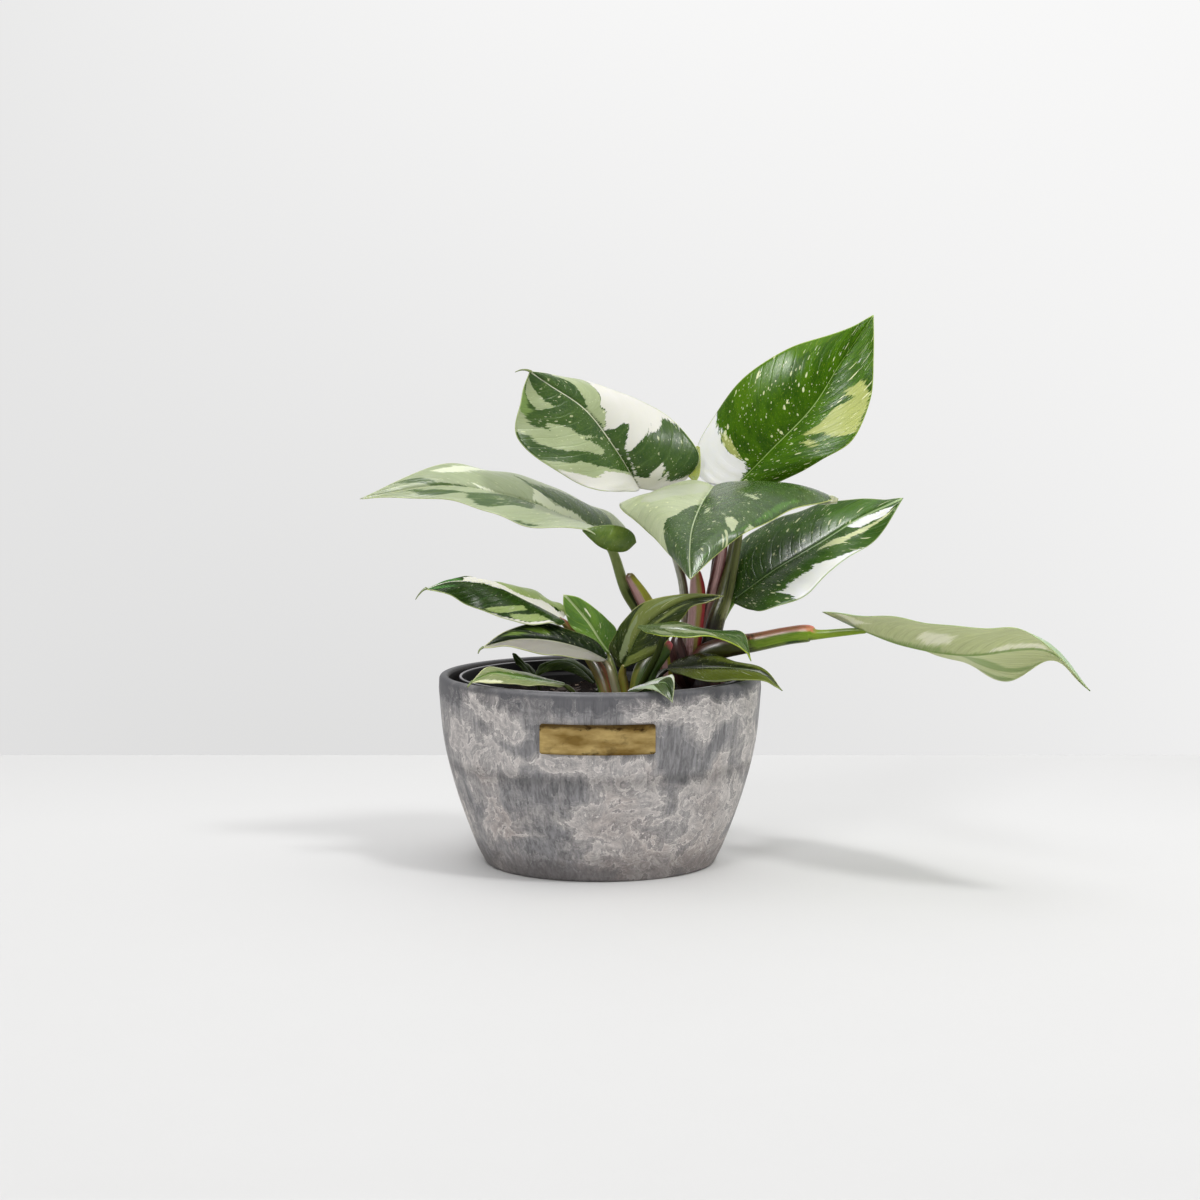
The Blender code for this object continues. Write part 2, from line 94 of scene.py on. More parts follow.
camera = new_object("camera", bpy.data.cameras.new("camera"))
camera.location = CAMERA_PLACE
camera.rotation_euler = (math.radians(90 - CAMERA_TILT), 0, 0)
camera.data.lens, camera.data.sensor_width = LENS, SENSOR
bpy.context.scene.camera = camera
bpy.context.scene.view_settings.view_transform = "Standard"
for lamp in LAMPS:
    softbox(*lamp)

bpy.ops.mesh.primitive_plane_add(size=FLOOR_SIZE, location=(0, FLOOR_BACK - FLOOR_SIZE / 2, 0))
floor = bpy.context.object
floor.name = "floor"
bpy.ops.object.transform_apply()

world = bpy.data.worlds.new("surroundings")
bpy.context.scene.world = world
print("camera", tuple(camera.location), "lamps", len(LAMPS))

# %% [markdown]
# ## Writing finishes as sums
#
# A finish is a small net of nodes. Wiring each node by hand is long to read, so a `Wire` wraps one
# socket and answers to +, -, * and /. An expression such as `1 - mask * 0.4` then adds its own
# Math nodes. A `Paint` is one net with a method for the few nodes that these finishes need.

# %% Colours and wires
def tone(code):
    """A colour as light carries it, from a painter's six-figure colour code."""
    shares = [int(code[i:i + 2], 16) / 255 for i in (0, 2, 4)]
    return tuple(c / 12.92 if c < 0.04045 else ((c + 0.055) / 1.055) ** 2.4 for c in shares)


def shade(colour, amount, lift=(1, 1, 1)):
    """A darker or brighter version of a colour code, with each of its shares lifted apart."""
    return tuple(c * amount * k for c, k in zip(tone(colour), lift))


def sums(operation, turned=False):
    """A method that adds one Math node for a wire and another value, or for the two turned round."""
    def method(self, other=0.0, clamp=False):
        first, second = (other, self) if turned else (self, other)
        settings = {"operation": operation, "use_clamp": clamp}
        return self.paint.node("ShaderNodeMath", settings, {0: first, 1: second})
    return method


class Wire:
    """One output socket that takes part in Python sums."""

    def __init__(self, paint, socket):
        self.paint, self.socket = paint, socket

    add = __add__ = __radd__ = sums("ADD")
    __sub__, __rsub__ = sums("SUBTRACT"), sums("SUBTRACT", turned=True)
    __mul__ = __rmul__ = sums("MULTIPLY")
    __truediv__ = sums("DIVIDE")
    __abs__, sine, fraction, exponent = sums("ABSOLUTE"), sums("SINE"), sums("FRACT"), sums("EXPONENT")
    least, most, power = sums("MINIMUM"), sums("MAXIMUM"), sums("POWER")

    def clamp(self):
        return self.add(0.0, clamp=True)


# %% Paints
class Paint:
    """The net of one material, or of the world. Constants go straight on to its shader's sockets."""

    def __init__(self, name, owner=None, **constants):
        self.owner = owner or bpy.data.materials.new(name)
        self.owner.use_nodes = True
        self.tree = self.owner.node_tree
        self.shader = self.tree.nodes["Background" if owner else "Principled BSDF"]
        self.finish(**constants)

    def node(self, kind, settings=None, inputs=None, out=0):
        """Adds a node, sets its settings, then its sockets, and returns one of its outputs."""
        made = self.tree.nodes.new(kind)
        for name, value in (settings or {}).items():
            setattr(made, name, value)
        for name, value in (inputs or {}).items():
            self.feed(made.inputs[name], value)
        return Wire(self, made.outputs[out])

    def feed(self, socket, value):
        """Links a wire to a socket, or sets a number, a vector, a colour or a colour code on it."""
        if isinstance(value, Wire):
            self.tree.links.new(value.socket, socket)
        elif socket.type == "RGBA":
            socket.default_value = (*(tone(value) if isinstance(value, str) else value), 1.0)
        else:
            socket.default_value = value

    def place(self):
        """Object coordinates in millimetres, as three wires."""
        found = self.node("ShaderNodeTexCoord", out="Object")
        return self.split(self.vector("SCALE", found, Scale=1 / MM))

    def vector(self, operation, first, second=None, **more):
        inputs = {0: first} | ({1: second} if second else {}) | more
        return self.node("ShaderNodeVectorMath", {"operation": operation}, inputs)

    def read(self, attribute):
        """A vector that the mesh carries, as three wires."""
        return self.split(self.node("ShaderNodeAttribute", {"attribute_name": attribute}, out="Vector"))

    def split(self, vector):
        parts = self.node("ShaderNodeSeparateXYZ", inputs={0: vector}).socket.node.outputs
        return [Wire(self, part) for part in parts]

    def join(self, parts, pitch=None):
        """A vector from three parts, or a vector that is one already. A pitch scales each part."""
        if pitch:
            parts = [part * size for part, size in zip(parts, pitch)]
        return parts if isinstance(parts, Wire) else self.node("ShaderNodeCombineXYZ", inputs=dict(enumerate(parts)))

    def noise(self, parts, pitch=None, detail=2.0, rough=0.5, scale=1.0, out=0):
        inputs = {"Vector": self.join(parts, pitch), "Scale": scale, "Detail": detail, "Roughness": rough}
        return self.node("ShaderNodeTexNoise", inputs=inputs, out=out)

    def cells(self, parts, pitch=None, out=0):
        return self.node("ShaderNodeTexVoronoi", inputs={"Vector": self.join(parts, pitch), "Scale": 1.0}, out=out)

    def mix(self, share, first, second):
        """A colour between two others."""
        return self.node("ShaderNodeMix", {"data_type": "RGBA"}, {0: share, 6: first, 7: second}, out=2)

    def edge(self, field, soft):
        """0 where a field is below nothing, 1 where it is above, with a soft step between."""
        return (field / soft + 0.5).clamp()

    def finish(self, **sockets):
        for name, value in sockets.items():
            self.feed(self.shader.inputs[name.replace("_", " ")], value)
        return self.owner

    def skin(self, colour, rough, height, relief, strength):
        """The usual finish: a colour, a roughness and a bump, with its relief in metres."""
        inputs = {"Height": height, "Distance": relief, "Strength": strength}
        bump = self.node("ShaderNodeBump", inputs=inputs, out="Normal")
        return self.finish(Base_Color=colour, Roughness=rough, Normal=bump)


# %% Finish of the floor and the surroundings
PALE_FLOOR, FLOOR_GRAIN = (0.725, 0.723, 0.72), (0.74, 0.74, 0.74)
NEAR_START, NEAR_REACH, NEAR_SHADE_SHARE = -350, 900.0, 0.79  # the floor dims towards the reader


def paint_floor():
    paint = Paint("pale_floor", Roughness=0.75, Specular_IOR_Level=0.2)
    x, y, z = paint.place()
    # Painted shade: the floor colour is darker towards the reader.
    near = paint.edge(NEAR_START - y, NEAR_REACH)
    pale = paint.mix(near, PALE_FLOOR, tuple(c * NEAR_SHADE_SHARE for c in PALE_FLOOR))
    grain = paint.noise((x, y, z), detail=3, scale=0.02) * 0.1
    floor.data.materials.append(paint.finish(Base_Color=paint.mix(grain, pale, FLOOR_GRAIN)))


ROOM_GLOW, WALL_GLOW = 0.45, 0.845  # how bright the room is in front, and the wall behind
WALL_COLOUR = (1.0, 0.998, 0.996)


def paint_world():
    """A pale wall behind, brighter to the right and higher up, and a dimmer room in front."""
    paint = Paint("room", owner=world)
    x, y, z = paint.split(paint.node("ShaderNodeTexCoord", out="Generated"))
    high = z.most(-0.3).least(0.3)
    wall = WALL_GLOW + x * 0.25 + high * (0.6 - (x * x * 6.5).least(0.4))
    behind = paint.edge(y + 0.05, 0.9)
    paint.finish(Color=WALL_COLOUR, Strength=ROOM_GLOW + behind * (wall - ROOM_GLOW))


paint_floor()
paint_world()
print("finishes so far:", len(bpy.data.materials))

# %% [markdown]
# ## Handing a piece over
#
# Every finished piece says two things: the body that it moves with and the plain solids that it
# stands for. One function keeps that in one place. The other helpers run an operator or a modifier
# on one mesh, or read and move its points. They could be written out for each piece, but then the
# same six lines would come back for every one.

# %% Handing over
def deliver(piece, slot, *nodes, finish=None):
    if finish:
        piece.data.materials.append(finish)
    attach(piece, "root")
    if nodes:
        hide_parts(*nodes)
    bpy.ops.object.select_all(action="DESELECT")
    return piece


# %% Operators and modifiers
def only(piece):
    """Selects one piece alone."""
    bpy.ops.object.select_all(action="DESELECT")
    piece.select_set(True)
    bpy.context.view_layer.objects.active = piece


def in_edit(piece, *steps):
    """Runs edit-mode operators on the whole mesh, each given as (operator, its words)."""
    only(piece)
    bpy.ops.object.mode_set(mode="EDIT")
    for step, words in steps:
        bpy.ops.mesh.select_all(action="SELECT")
        step(**words)
    bpy.ops.object.mode_set(mode="OBJECT")


def clean(piece, gap=1e-5, outwards=True):
    """Merges doubled points, then turns all faces outwards."""
    merge = (bpy.ops.mesh.remove_doubles, dict(threshold=gap))
    turn = (bpy.ops.mesh.normals_make_consistent, dict(inside=False))
    in_edit(piece, *([merge, turn] if outwards else [merge]))


def apply_all(piece):
    only(piece)
    for modifier in list(piece.modifiers):
        bpy.ops.object.modifier_apply(modifier=modifier.name)


def modify(piece, kind, **settings):
    """Adds a modifier, sets it up and applies it."""
    modifier = piece.modifiers.new(kind.lower(), kind)
    for name, value in settings.items():
        setattr(modifier, name, value)
    apply_all(piece)


def smooth(piece, sharp=None):
    piece.data.shade_smooth()
    if sharp:
        piece.data.set_sharp_from_angle(angle=math.radians(sharp))
    return piece


# %% Points and curves
def points_of(piece):
    found = np.empty(len(piece.data.vertices) * 3)
    piece.data.vertices.foreach_get("co", found)
    return found.reshape(-1, 3)


def put_points(piece, *points):
    """Moves all points of a mesh, given as one list or as its three columns, in millimetres."""
    points = points[0] if len(points) == 1 else np.stack(points, 1)
    piece.data.vertices.foreach_set("co", np.ascontiguousarray(points * MM, float).ravel())
    piece.data.update()


def grid(name, columns, rows):
    """A flat grid, with the places of its points from -1 to 1 across and along."""
    bpy.ops.mesh.primitive_grid_add(x_subdivisions=columns, y_subdivisions=rows, size=2)
    piece = bpy.context.object
    piece.name = piece.data.name = name
    flat = points_of(piece)
    return piece, flat[:, 0], flat[:, 1]


def read_points(text, unit=1):
    """Points from a text such as "1 2 3, 4 5 6", each number in parts of the unit."""
    return [tuple(float(n) / unit for n in point.split()) for point in text.split(",")]


def unit_vectors(vectors):
    return vectors / np.maximum(np.linalg.norm(vectors, axis=1, keepdims=True), 1e-9)


def length_of(line):
    return float(np.linalg.norm(np.diff(line, axis=0), axis=1).sum())


def smooth_curve(points, shares):
    """Points of a Catmull-Rom curve through `points`, at shares 0..1 of its spans."""
    points = np.asarray(points, float)
    points = np.vstack([2 * points[0] - points[1], points, 2 * points[-1] - points[-2]])
    spans = len(points) - 3
    place = np.clip(shares, 0, 1) * spans
    first = np.minimum(place.astype(int), spans - 1)
    t = (place - first)[:, None]
    a, b, c, d = (points[first + i] for i in range(4))
    return 0.5 * (2 * b + (c - a) * t + (2 * a - 5 * b + 4 * c - d) * t**2 + (3 * b - 3 * c + d - a) * t**3)


def spun(name, profile, steps=128, sharp=35):
    """A piece turned round Z from its profile, (radius, height) in millimetres, as on a wheel."""
    mesh = bpy.data.meshes.new(name)
    mesh.from_pydata([(r * MM, 0, z * MM) for r, z in profile], [(i, i + 1) for i in range(len(profile) - 1)], [])
    piece = new_object(name, mesh)
    in_edit(piece, (bpy.ops.mesh.spin, dict(steps=steps, angle=math.tau, center=(0, 0, 0), axis=(0, 0, 1))))
    clean(piece)
    return smooth(piece, sharp)


print("helpers ready")

# %% [markdown]
# ## The stone-look planter
#
# The real bowl is moulded stone powder: grey, matt, with pale drifts whose edges break into fine
# threads, and faint runs down the wall. The shape could be a cylinder that is scaled row by row,
# but a wall with a soft lip is one curve, so its profile is drawn once and spun.

# %% Planter shape
PLANTER_HEIGHT, PLANTER_WALL, PLANTER_FLOOR = 106.0, 5.3, 6.0
LIP_RADIUS, FOOT_RADIUS = 2.4, 63.0
OUTER_CURVE = smooth_curve(
    read_points("65.2 2, 70.9 14, 80.5 41, 87.2 68, 90 95, 90 103"), np.linspace(0, 1, 200))


def outer_radius(height):
    """Radius of the planter's wall at a height, in millimetres."""
    return np.interp(height, OUTER_CURVE[:, 1], OUTER_CURVE[:, 0])


def make_planter():
    lip = PLANTER_HEIGHT - LIP_RADIUS
    turns = np.linspace(0, math.pi / 2, 7)
    outer = [(float(outer_radius(z)), float(z)) for z in np.linspace(3.2, lip, 42)]
    inner = [(r - PLANTER_WALL, z) for r, z in outer if z > PLANTER_FLOOR + 5]
    rim_out, rim_in = outer[-1][0], outer[-1][0] - PLANTER_WALL
    floor_edge = inner[0][0]
    profile = [(0, PLANTER_FLOOR), (floor_edge - 6, PLANTER_FLOOR), (floor_edge - 2, PLANTER_FLOOR + 1.2), *inner]
    profile += [(rim_in + LIP_RADIUS * (1 - math.cos(a)), lip + LIP_RADIUS * math.sin(a)) for a in turns[1:]]
    profile += [(rim_out - LIP_RADIUS * (1 - math.sin(a)), lip + LIP_RADIUS * math.cos(a)) for a in turns]
    profile += outer[-2::-1]
    profile += [(65.2, 1.9), (64.6, 0.9), (FOOT_RADIUS + 0.7, 0.2), (FOOT_RADIUS, 0.0), (0, 0)]
    return spun("planter_stone", profile)


# %% Planter finish
# Where the pale drifts gather on the front and back: x, z, half width, half height and strength.
DRIFTS = read_points(
    "-70 74 15 24 .13, -60 50 12 14 .1, -46 88 18 9 .1, -35 64 8 20 -.16, -18 68 30 4.5 .15, -18 54 18 8 -.1,"
    "-14 40 14 10 .1, 20 60 20 9 .09, 24 30 44 20 .15, 60 38 20 18 .08, 54 93 32 6 .24, -14 98 34 8 -.22,"
    "42 66 8 16 -.15, 68 74 14 14 .06, -62 22 12 22 .08, -27 26 9 13 -.12, -78 99 14 6 -.12, -20 6 30 5 -.08,"
    "40 9 40 6 .05, -44 36 9 4 .12, 0 18 12 9 -.05, 76 103 12 4 -.1")
STONE_DARK, STONE_LIGHT, STONE_GRAIN, STONE_FOOT = "6a696b", "949395", "a19f9f", "615a58"
DRIFT_THICK, DRIFT_BROWN, DRIFT_EDGE = "c4bebb", "9c8a83", "ebe6e1"
# The shoulder band, the top of the lip and the inner wall near the rim are painted shade.
SHOULDER_SHADE, LIP_SHADE, INSIDE_SHADE = "4b4b50", "58585c", "25211f"
BROWN_TOP, FOOT_TOP, INSIDE_FOOT, SHOULDER_FOOT, LIP_FOOT = 26, 12, 60, 95, 102.4  # heights on the wall
SIDE_CLEAR, SIDE_SOFT = 18, 24.0  # how far back from the middle the drawn drifts begin
PLANTER_INSIDE = 85.6  # radius below which a point near the rim is on the inner wall
CREST_COUNT = 7.0


def paint_stone():
    paint = Paint("stone_finish", Specular_IOR_Level=0.30)
    x, y, z = where = paint.place()

    def pushed(start, pitch, reach, detail):
        drift = paint.noise(start, detail=detail, rough=0.6, scale=pitch, out=1)
        centred = paint.vector("SUBTRACT", drift, (0.5, 0.5, 0.5))
        return paint.vector("ADD", start, paint.vector("SCALE", centred, Scale=reach))

    def crests(field):
        """1 where a field has just passed one of its levels, falling slowly after it."""
        return 1 - (field * CREST_COUNT).fraction()

    bent = paint.split(pushed(pushed(paint.join(where), 0.03, 34.0, 2.0), 0.16, 9.0, 4.0))
    cloud = paint.noise(bent, (0.042, 0.042, 0.05), detail=6, rough=0.55)
    hatch = paint.noise(bent, (0.13, 0.13, 0.34), detail=5, rough=0.6)
    runs = paint.noise(where, (0.65, 0.65, 0.05), detail=5, rough=0.65)
    wide_runs = paint.noise(where, (0.16, 0.16, 0.018), detail=3, rough=0.6)
    grain = paint.noise(where, (1.6, 1.6, 0.35), detail=3, rough=0.6)
    steer = 0.0
    for cx, cz, wide, high, strength in DRIFTS:
        far = ((x - cx) / wide).power(2.0) + ((z - cz) / high).power(2.0)
        steer = steer + (far * -1.0).exponent() * strength
    steer = steer * paint.edge(abs(y) - SIDE_CLEAR, SIDE_SOFT)
    field = cloud + steer + (wide_runs - 0.5) * 0.22 + (runs - 0.5) * 0.05 - 0.505
    inside = paint.edge(field - 0.005, 0.10)
    near = paint.edge(field + 0.05, 0.10)
    crest, fine = crests(field + 0.5), crests(hatch)
    thick = inside * (0.22 + crest.power(1.5) * 0.55 + fine.power(1.7) * 0.45) * (0.2 + runs * 1.6)
    line = crest.power(12.0) * near * 0.9 + fine.power(9.0) * inside * 0.6
    streak = paint.edge(runs * 1.3 + wide_runs * 0.7 - 1.0, 0.36)
    ground = paint.mix(streak, STONE_DARK, STONE_LIGHT)
    ground = paint.mix(paint.edge(grain - 0.56, 0.12) * 0.30, ground, STONE_GRAIN)
    # Painted shade: a dark band round the shoulder, just under the lip.
    shoulder_shade = paint.edge(z - SHOULDER_FOOT + (hatch - 0.5) * 22 + (wide_runs - 0.5) * 12, 5.0) * 0.7
    ground = paint.mix(shoulder_shade, ground, SHOULDER_SHADE)
    warm = paint.noise(where, detail=3, scale=0.03)
    brown = paint.edge(warm + (BROWN_TOP - z) * 0.003 - 0.55, 0.16) * 0.45 * inside
    body = paint.mix((thick * 1.25).clamp(), ground, paint.mix(brown, DRIFT_THICK, DRIFT_BROWN))
    body = paint.mix(line.clamp(), body, DRIFT_EDGE)
    body = paint.mix(paint.edge(FOOT_TOP - z + (hatch - 0.5) * 24, 11.0) * 0.6, body, STONE_FOOT)
    # Painted shade on the top of the lip.
    body = paint.mix(paint.edge(z - LIP_FOOT + (runs - 0.5) * 3, 2.0) * 0.8, body, LIP_SHADE)
    # Painted shade on the inner wall, below the rim.
    far_in = paint.edge(PLANTER_INSIDE - (x * x + y * y).power(0.5), 1.0) * paint.edge(z - INSIDE_FOOT, 20)
    body = paint.mix(far_in * 0.9, body, INSIDE_SHADE)
    height = inside * 0.25 + line * 0.3 + runs * 0.5 + hatch * 0.4
    rough = 0.55 + (runs - 0.5) * 0.25 + inside * 0.06
    return paint.skin(body, rough, height, relief=0.0003, strength=0.4)


planter = deliver(make_planter(), "stone", "planter", finish=paint_stone())
print("planter faces", len(planter.data.polygons), "materials", len(bpy.data.materials))

# %% [markdown]
# ## The brass plate
#
# A small bare plate, bent to the wall, dulled by handling, with painted shade along its upper edge. It could
# be a flat box, but the wall curves behind it, so a fine grid is bent to the wall and then thickened.

# %% Plate
PLATE_WIDTH, PLATE_BOTTOM, PLATE_TOP, PLATE_CENTRE = 61.0, 73.0, 89.4, -1.3
PLATE_LIFT, PLATE_THICK, PLATE_CORNER = 0.35, 0.95, 1.1
EDGE_WIDTH, EDGE_SLOPE, EDGE_HEIGHT = 0.9, 0.8, 0.22  # the raised line round the plate
BRASS_DARK, BRASS_LIGHT, TARNISH_AND_SHADE = "7f6636", "c2a970", "3a2a14"


def make_plate():
    plate, side, up = grid("brass_plate", 64, 20)
    middle, half = (PLATE_BOTTOM + PLATE_TOP) / 2, (PLATE_TOP - PLATE_BOTTOM) / 2
    height = middle + up * half
    into_corner = np.clip(np.abs(height - middle) - half + PLATE_CORNER, 0, PLATE_CORNER)
    reach = PLATE_WIDTH / 2 - PLATE_CORNER + np.sqrt(np.clip(PLATE_CORNER**2 - into_corner**2, 0, None))
    across = PLATE_CENTRE + side * reach
    to_edge = np.minimum((1 - np.abs(side)) * PLATE_WIDTH / 2, (1 - np.abs(up)) * half)
    sunk = EDGE_HEIGHT * np.clip((to_edge - EDGE_WIDTH) / EDGE_SLOPE, 0, 1)
    put_points(plate, across, sunk - np.sqrt((outer_radius(height) + PLATE_LIFT) ** 2 - across**2), height)
    modify(plate, "SOLIDIFY", thickness=PLATE_THICK * MM, offset=1)
    modify(plate, "BEVEL", width=0.22 * MM, segments=2, limit_method="ANGLE", angle_limit=math.radians(50))
    return smooth(plate, sharp=40)


def paint_brass():
    paint = Paint("worn_brass", Metallic=1.0)
    where = paint.place()
    height = where[2]
    brushed = paint.noise(where, (0.12, 0.12, 3.0), detail=4, rough=0.6)
    blotch = paint.noise(where, (0.13, 0.13, 0.2), detail=5, rough=0.6)
    sheen = paint.noise(where, (0.05, 0.05, 0.16), detail=3, rough=0.5)
    gold = paint.mix(paint.edge(sheen + blotch * 0.3 - 0.65, 0.3), BRASS_DARK, BRASS_LIGHT)
    # Tarnish in patches, painted shade along the top edge, and darker along the bottom edge.
    top = paint.edge(height - (PLATE_TOP - 2.4) + (blotch - 0.5) * 7, 1.6)
    bottom = paint.edge(PLATE_BOTTOM + 0.9 - height + (blotch - 0.5) * 3, 0.8)
    tarnish_and_shade = top * 0.85 + bottom * 0.5 + paint.edge(blotch - 0.60, 0.10) * 0.4
    rough = 0.3 + blotch * 0.2 + (brushed - 0.5) * 0.2
    aged = paint.mix(tarnish_and_shade.clamp(), gold, TARNISH_AND_SHADE)
    return paint.skin(aged, rough, brushed + blotch, relief=0.0001, strength=0.6)


plate = deliver(make_plate(), "brass", "front_plate", finish=paint_brass())
print("plate faces", len(plate.data.polygons))

# %% [markdown]
# ## The nursery pot
#
# A thin black plastic pot with a rolled rim stands inside the bowl; the light along its rim is a painted grey
# highlight.
# It is thin everywhere, so both its faces are drawn as one closed profile and spun, and the drain
# holes are cut with a Boolean while the cutters are still simple round bars.

# %% Nursery pot
NURSERY_TOP, NURSERY_FOOT, NURSERY_WALL = 105.0, 6.3, 1.2
BASE_RADIUS, NECK_RADIUS, RIM_RADIUS, ROLL_RADIUS, RIM_DROP = 56.0, 76.5, 79.0, 0.9, 9.0
DRAIN_HOLES, DRAIN_CIRCLE, DRAIN_RADIUS, DRAIN_DEPTH = 4, 36.0, 4.5, 8
PLASTIC_DARK, PLASTIC_DUST, PLASTIC_SPECK, PLASTIC_LIP_HIGHLIGHT = "040304", "0c0b0d", "4a4038", "9a989c"


def make_nursery_pot():
    rim_foot = NURSERY_TOP - RIM_DROP
    roll_at, roll_up = RIM_RADIUS - ROLL_RADIUS, NURSERY_TOP - ROLL_RADIUS
    roll = [(roll_at + ROLL_RADIUS * math.sin(a), roll_up + ROLL_RADIUS * math.cos(a))
            for a in np.linspace(-math.pi / 2, math.pi / 2, 9)]
    pot = spun("nursery_pot_plastic", [
        (0, NURSERY_FOOT + NURSERY_WALL), (BASE_RADIUS - 3, NURSERY_FOOT + NURSERY_WALL),
        (BASE_RADIUS - 1.4, NURSERY_FOOT + 2.6), (NECK_RADIUS - NURSERY_WALL, rim_foot),
        (RIM_RADIUS - 1.8, rim_foot + 1.6), *roll, (RIM_RADIUS, rim_foot + 0.4),
        (RIM_RADIUS - 0.5, rim_foot - 0.1), (NECK_RADIUS, rim_foot - 0.4),
        (BASE_RADIUS, NURSERY_FOOT + 1.2), (BASE_RADIUS - 1.2, NURSERY_FOOT), (0, NURSERY_FOOT)])
    for number in range(DRAIN_HOLES):
        angle = math.tau * (number + 0.5) / DRAIN_HOLES
        place = np.array((DRAIN_CIRCLE * math.cos(angle), DRAIN_CIRCLE * math.sin(angle), NURSERY_FOOT)) * MM
        bpy.ops.mesh.primitive_cylinder_add(
            vertices=24, radius=DRAIN_RADIUS * MM, depth=DRAIN_DEPTH * MM, location=place)
        cutter = bpy.context.object
        modify(pot, "BOOLEAN", object=cutter, operation="DIFFERENCE")
        bpy.data.objects.remove(cutter)
    return pot


def paint_black_plastic():
    paint = Paint("black_plastic_finish", Specular_IOR_Level=0.2)
    where = paint.place()
    dust = paint.noise(where, detail=5, rough=0.65, scale=0.09)
    specks = paint.edge(paint.noise(where, detail=2, scale=0.9) - 0.68, 0.06)
    grey = paint.mix(specks * 0.3, paint.mix(dust, PLASTIC_DARK, PLASTIC_DUST), PLASTIC_SPECK)
    # Painted highlight: a pale grey line along the top of the rim, mixed with dust.
    lip = paint.edge(where[2] - (NURSERY_TOP - 0.3), 0.3) * (0.5 + dust * 0.9)
    grey = paint.mix(lip.clamp(), grey, PLASTIC_LIP_HIGHLIGHT)
    return paint.skin(grey, 0.3 + dust * 0.22, dust, relief=0.0002, strength=0.3)


nursery_pot = deliver(make_nursery_pot(), "black_plastic", "nursery_pot", finish=paint_black_plastic())
print("nursery pot faces", len(nursery_pot.data.polygons))

# %% [markdown]
# ## Soil and bark
#
# Damp potting mix is dark, crumbly and uneven, with a few paler bark bits. The bed is spun like the
# pots and its top is then pushed up and down by noise. One bark bit is modelled and then copied many
# times, each copy turned and scaled, because no bit needs more than a few faces.

# %% Soil
SOIL_TOP, SOIL_FOOT, SOIL_BASE_RADIUS, SOIL_NECK_RADIUS = 91.0, 8.4, 53.9, 74.0
SOIL_LUMPS = [(26, 1, 1.1), (9, 2, 0.7), (4, 3, 0.45)]  # size, seed and height of each kind of lump
LUMP_WAVES = 7
BANK_FROM, BANK_REACH, BANK_HEIGHT = 62, 12, 1.5  # the mix is heaped a little at the wall
BARK_BITS, BIG_BITS, BARK_REACH, CRUMB_SIZE, PALE_EVERY = 420, 90, 71, 0.38, 14
BARK_SIZES = ((3, 8), (1.5, 4), (0.8, 2))  # least and greatest length, width and thickness
BARK_TILT, BARK_JITTER, BARK_LIFT = 0.35, 0.16, 0.25
dice = random.Random(7)


def lumps(x, y, size, seed):
    """Smooth noise -1..1 at points in the plane, in millimetres."""
    total = np.zeros_like(x)
    maker = np.random.default_rng(seed)
    for _ in range(LUMP_WAVES):
        angle, shift = maker.uniform(0, math.tau, 2)
        pitch = size * maker.uniform(0.6, 1.6)
        total += np.sin((x * math.cos(angle) + y * math.sin(angle)) * math.tau / pitch + shift)
    return total / 4


def soil_height(x, y):
    return SOIL_TOP - 0.6 + sum(lumps(x, y, size, seed) * height for size, seed, height in SOIL_LUMPS)


def make_soil():
    radius = SOIL_NECK_RADIUS - 0.6
    profile = [(float(r), SOIL_TOP) for r in np.linspace(0, radius, 48)] + [(radius + 0.3, SOIL_TOP - 1.0)]
    profile += [(SOIL_BASE_RADIUS + (radius - SOIL_BASE_RADIUS) * (z - SOIL_FOOT) / (SOIL_TOP - SOIL_FOOT), z)
                for z in (70.0, 40.0, SOIL_FOOT)]
    soil = spun("soil_bed", [*profile, (0, SOIL_FOOT)], steps=144, sharp=180)
    x, y, z = (points_of(soil) / MM).T
    bank = np.clip((np.hypot(x, y) - BANK_FROM) / BANK_REACH, 0, 1) * BANK_HEIGHT
    put_points(soil, x, y, np.where(z > SOIL_TOP - 0.5, z - SOIL_TOP + soil_height(x, y) + bank, z))
    return soil


def paint_soil():
    paint = Paint("potting_mix", Specular_IOR_Level=0.05)
    where = paint.place()
    crumbs = paint.noise(where, detail=8, rough=0.72, scale=0.35)
    grains = paint.cells(where, (0.7, 0.7, 0.7))
    damp = paint.noise(where, detail=3, scale=0.05)
    brown = paint.mix(paint.edge(crumbs - 0.5, 0.35), "0a0605", "1e1410")
    flecked = paint.mix(paint.edge(crumbs - 0.66, 0.05) * 0.5, brown, "5a4436")
    return paint.skin(flecked, 0.95 - damp * 0.35, crumbs - grains * 0.4, relief=0.0016, strength=1.0)


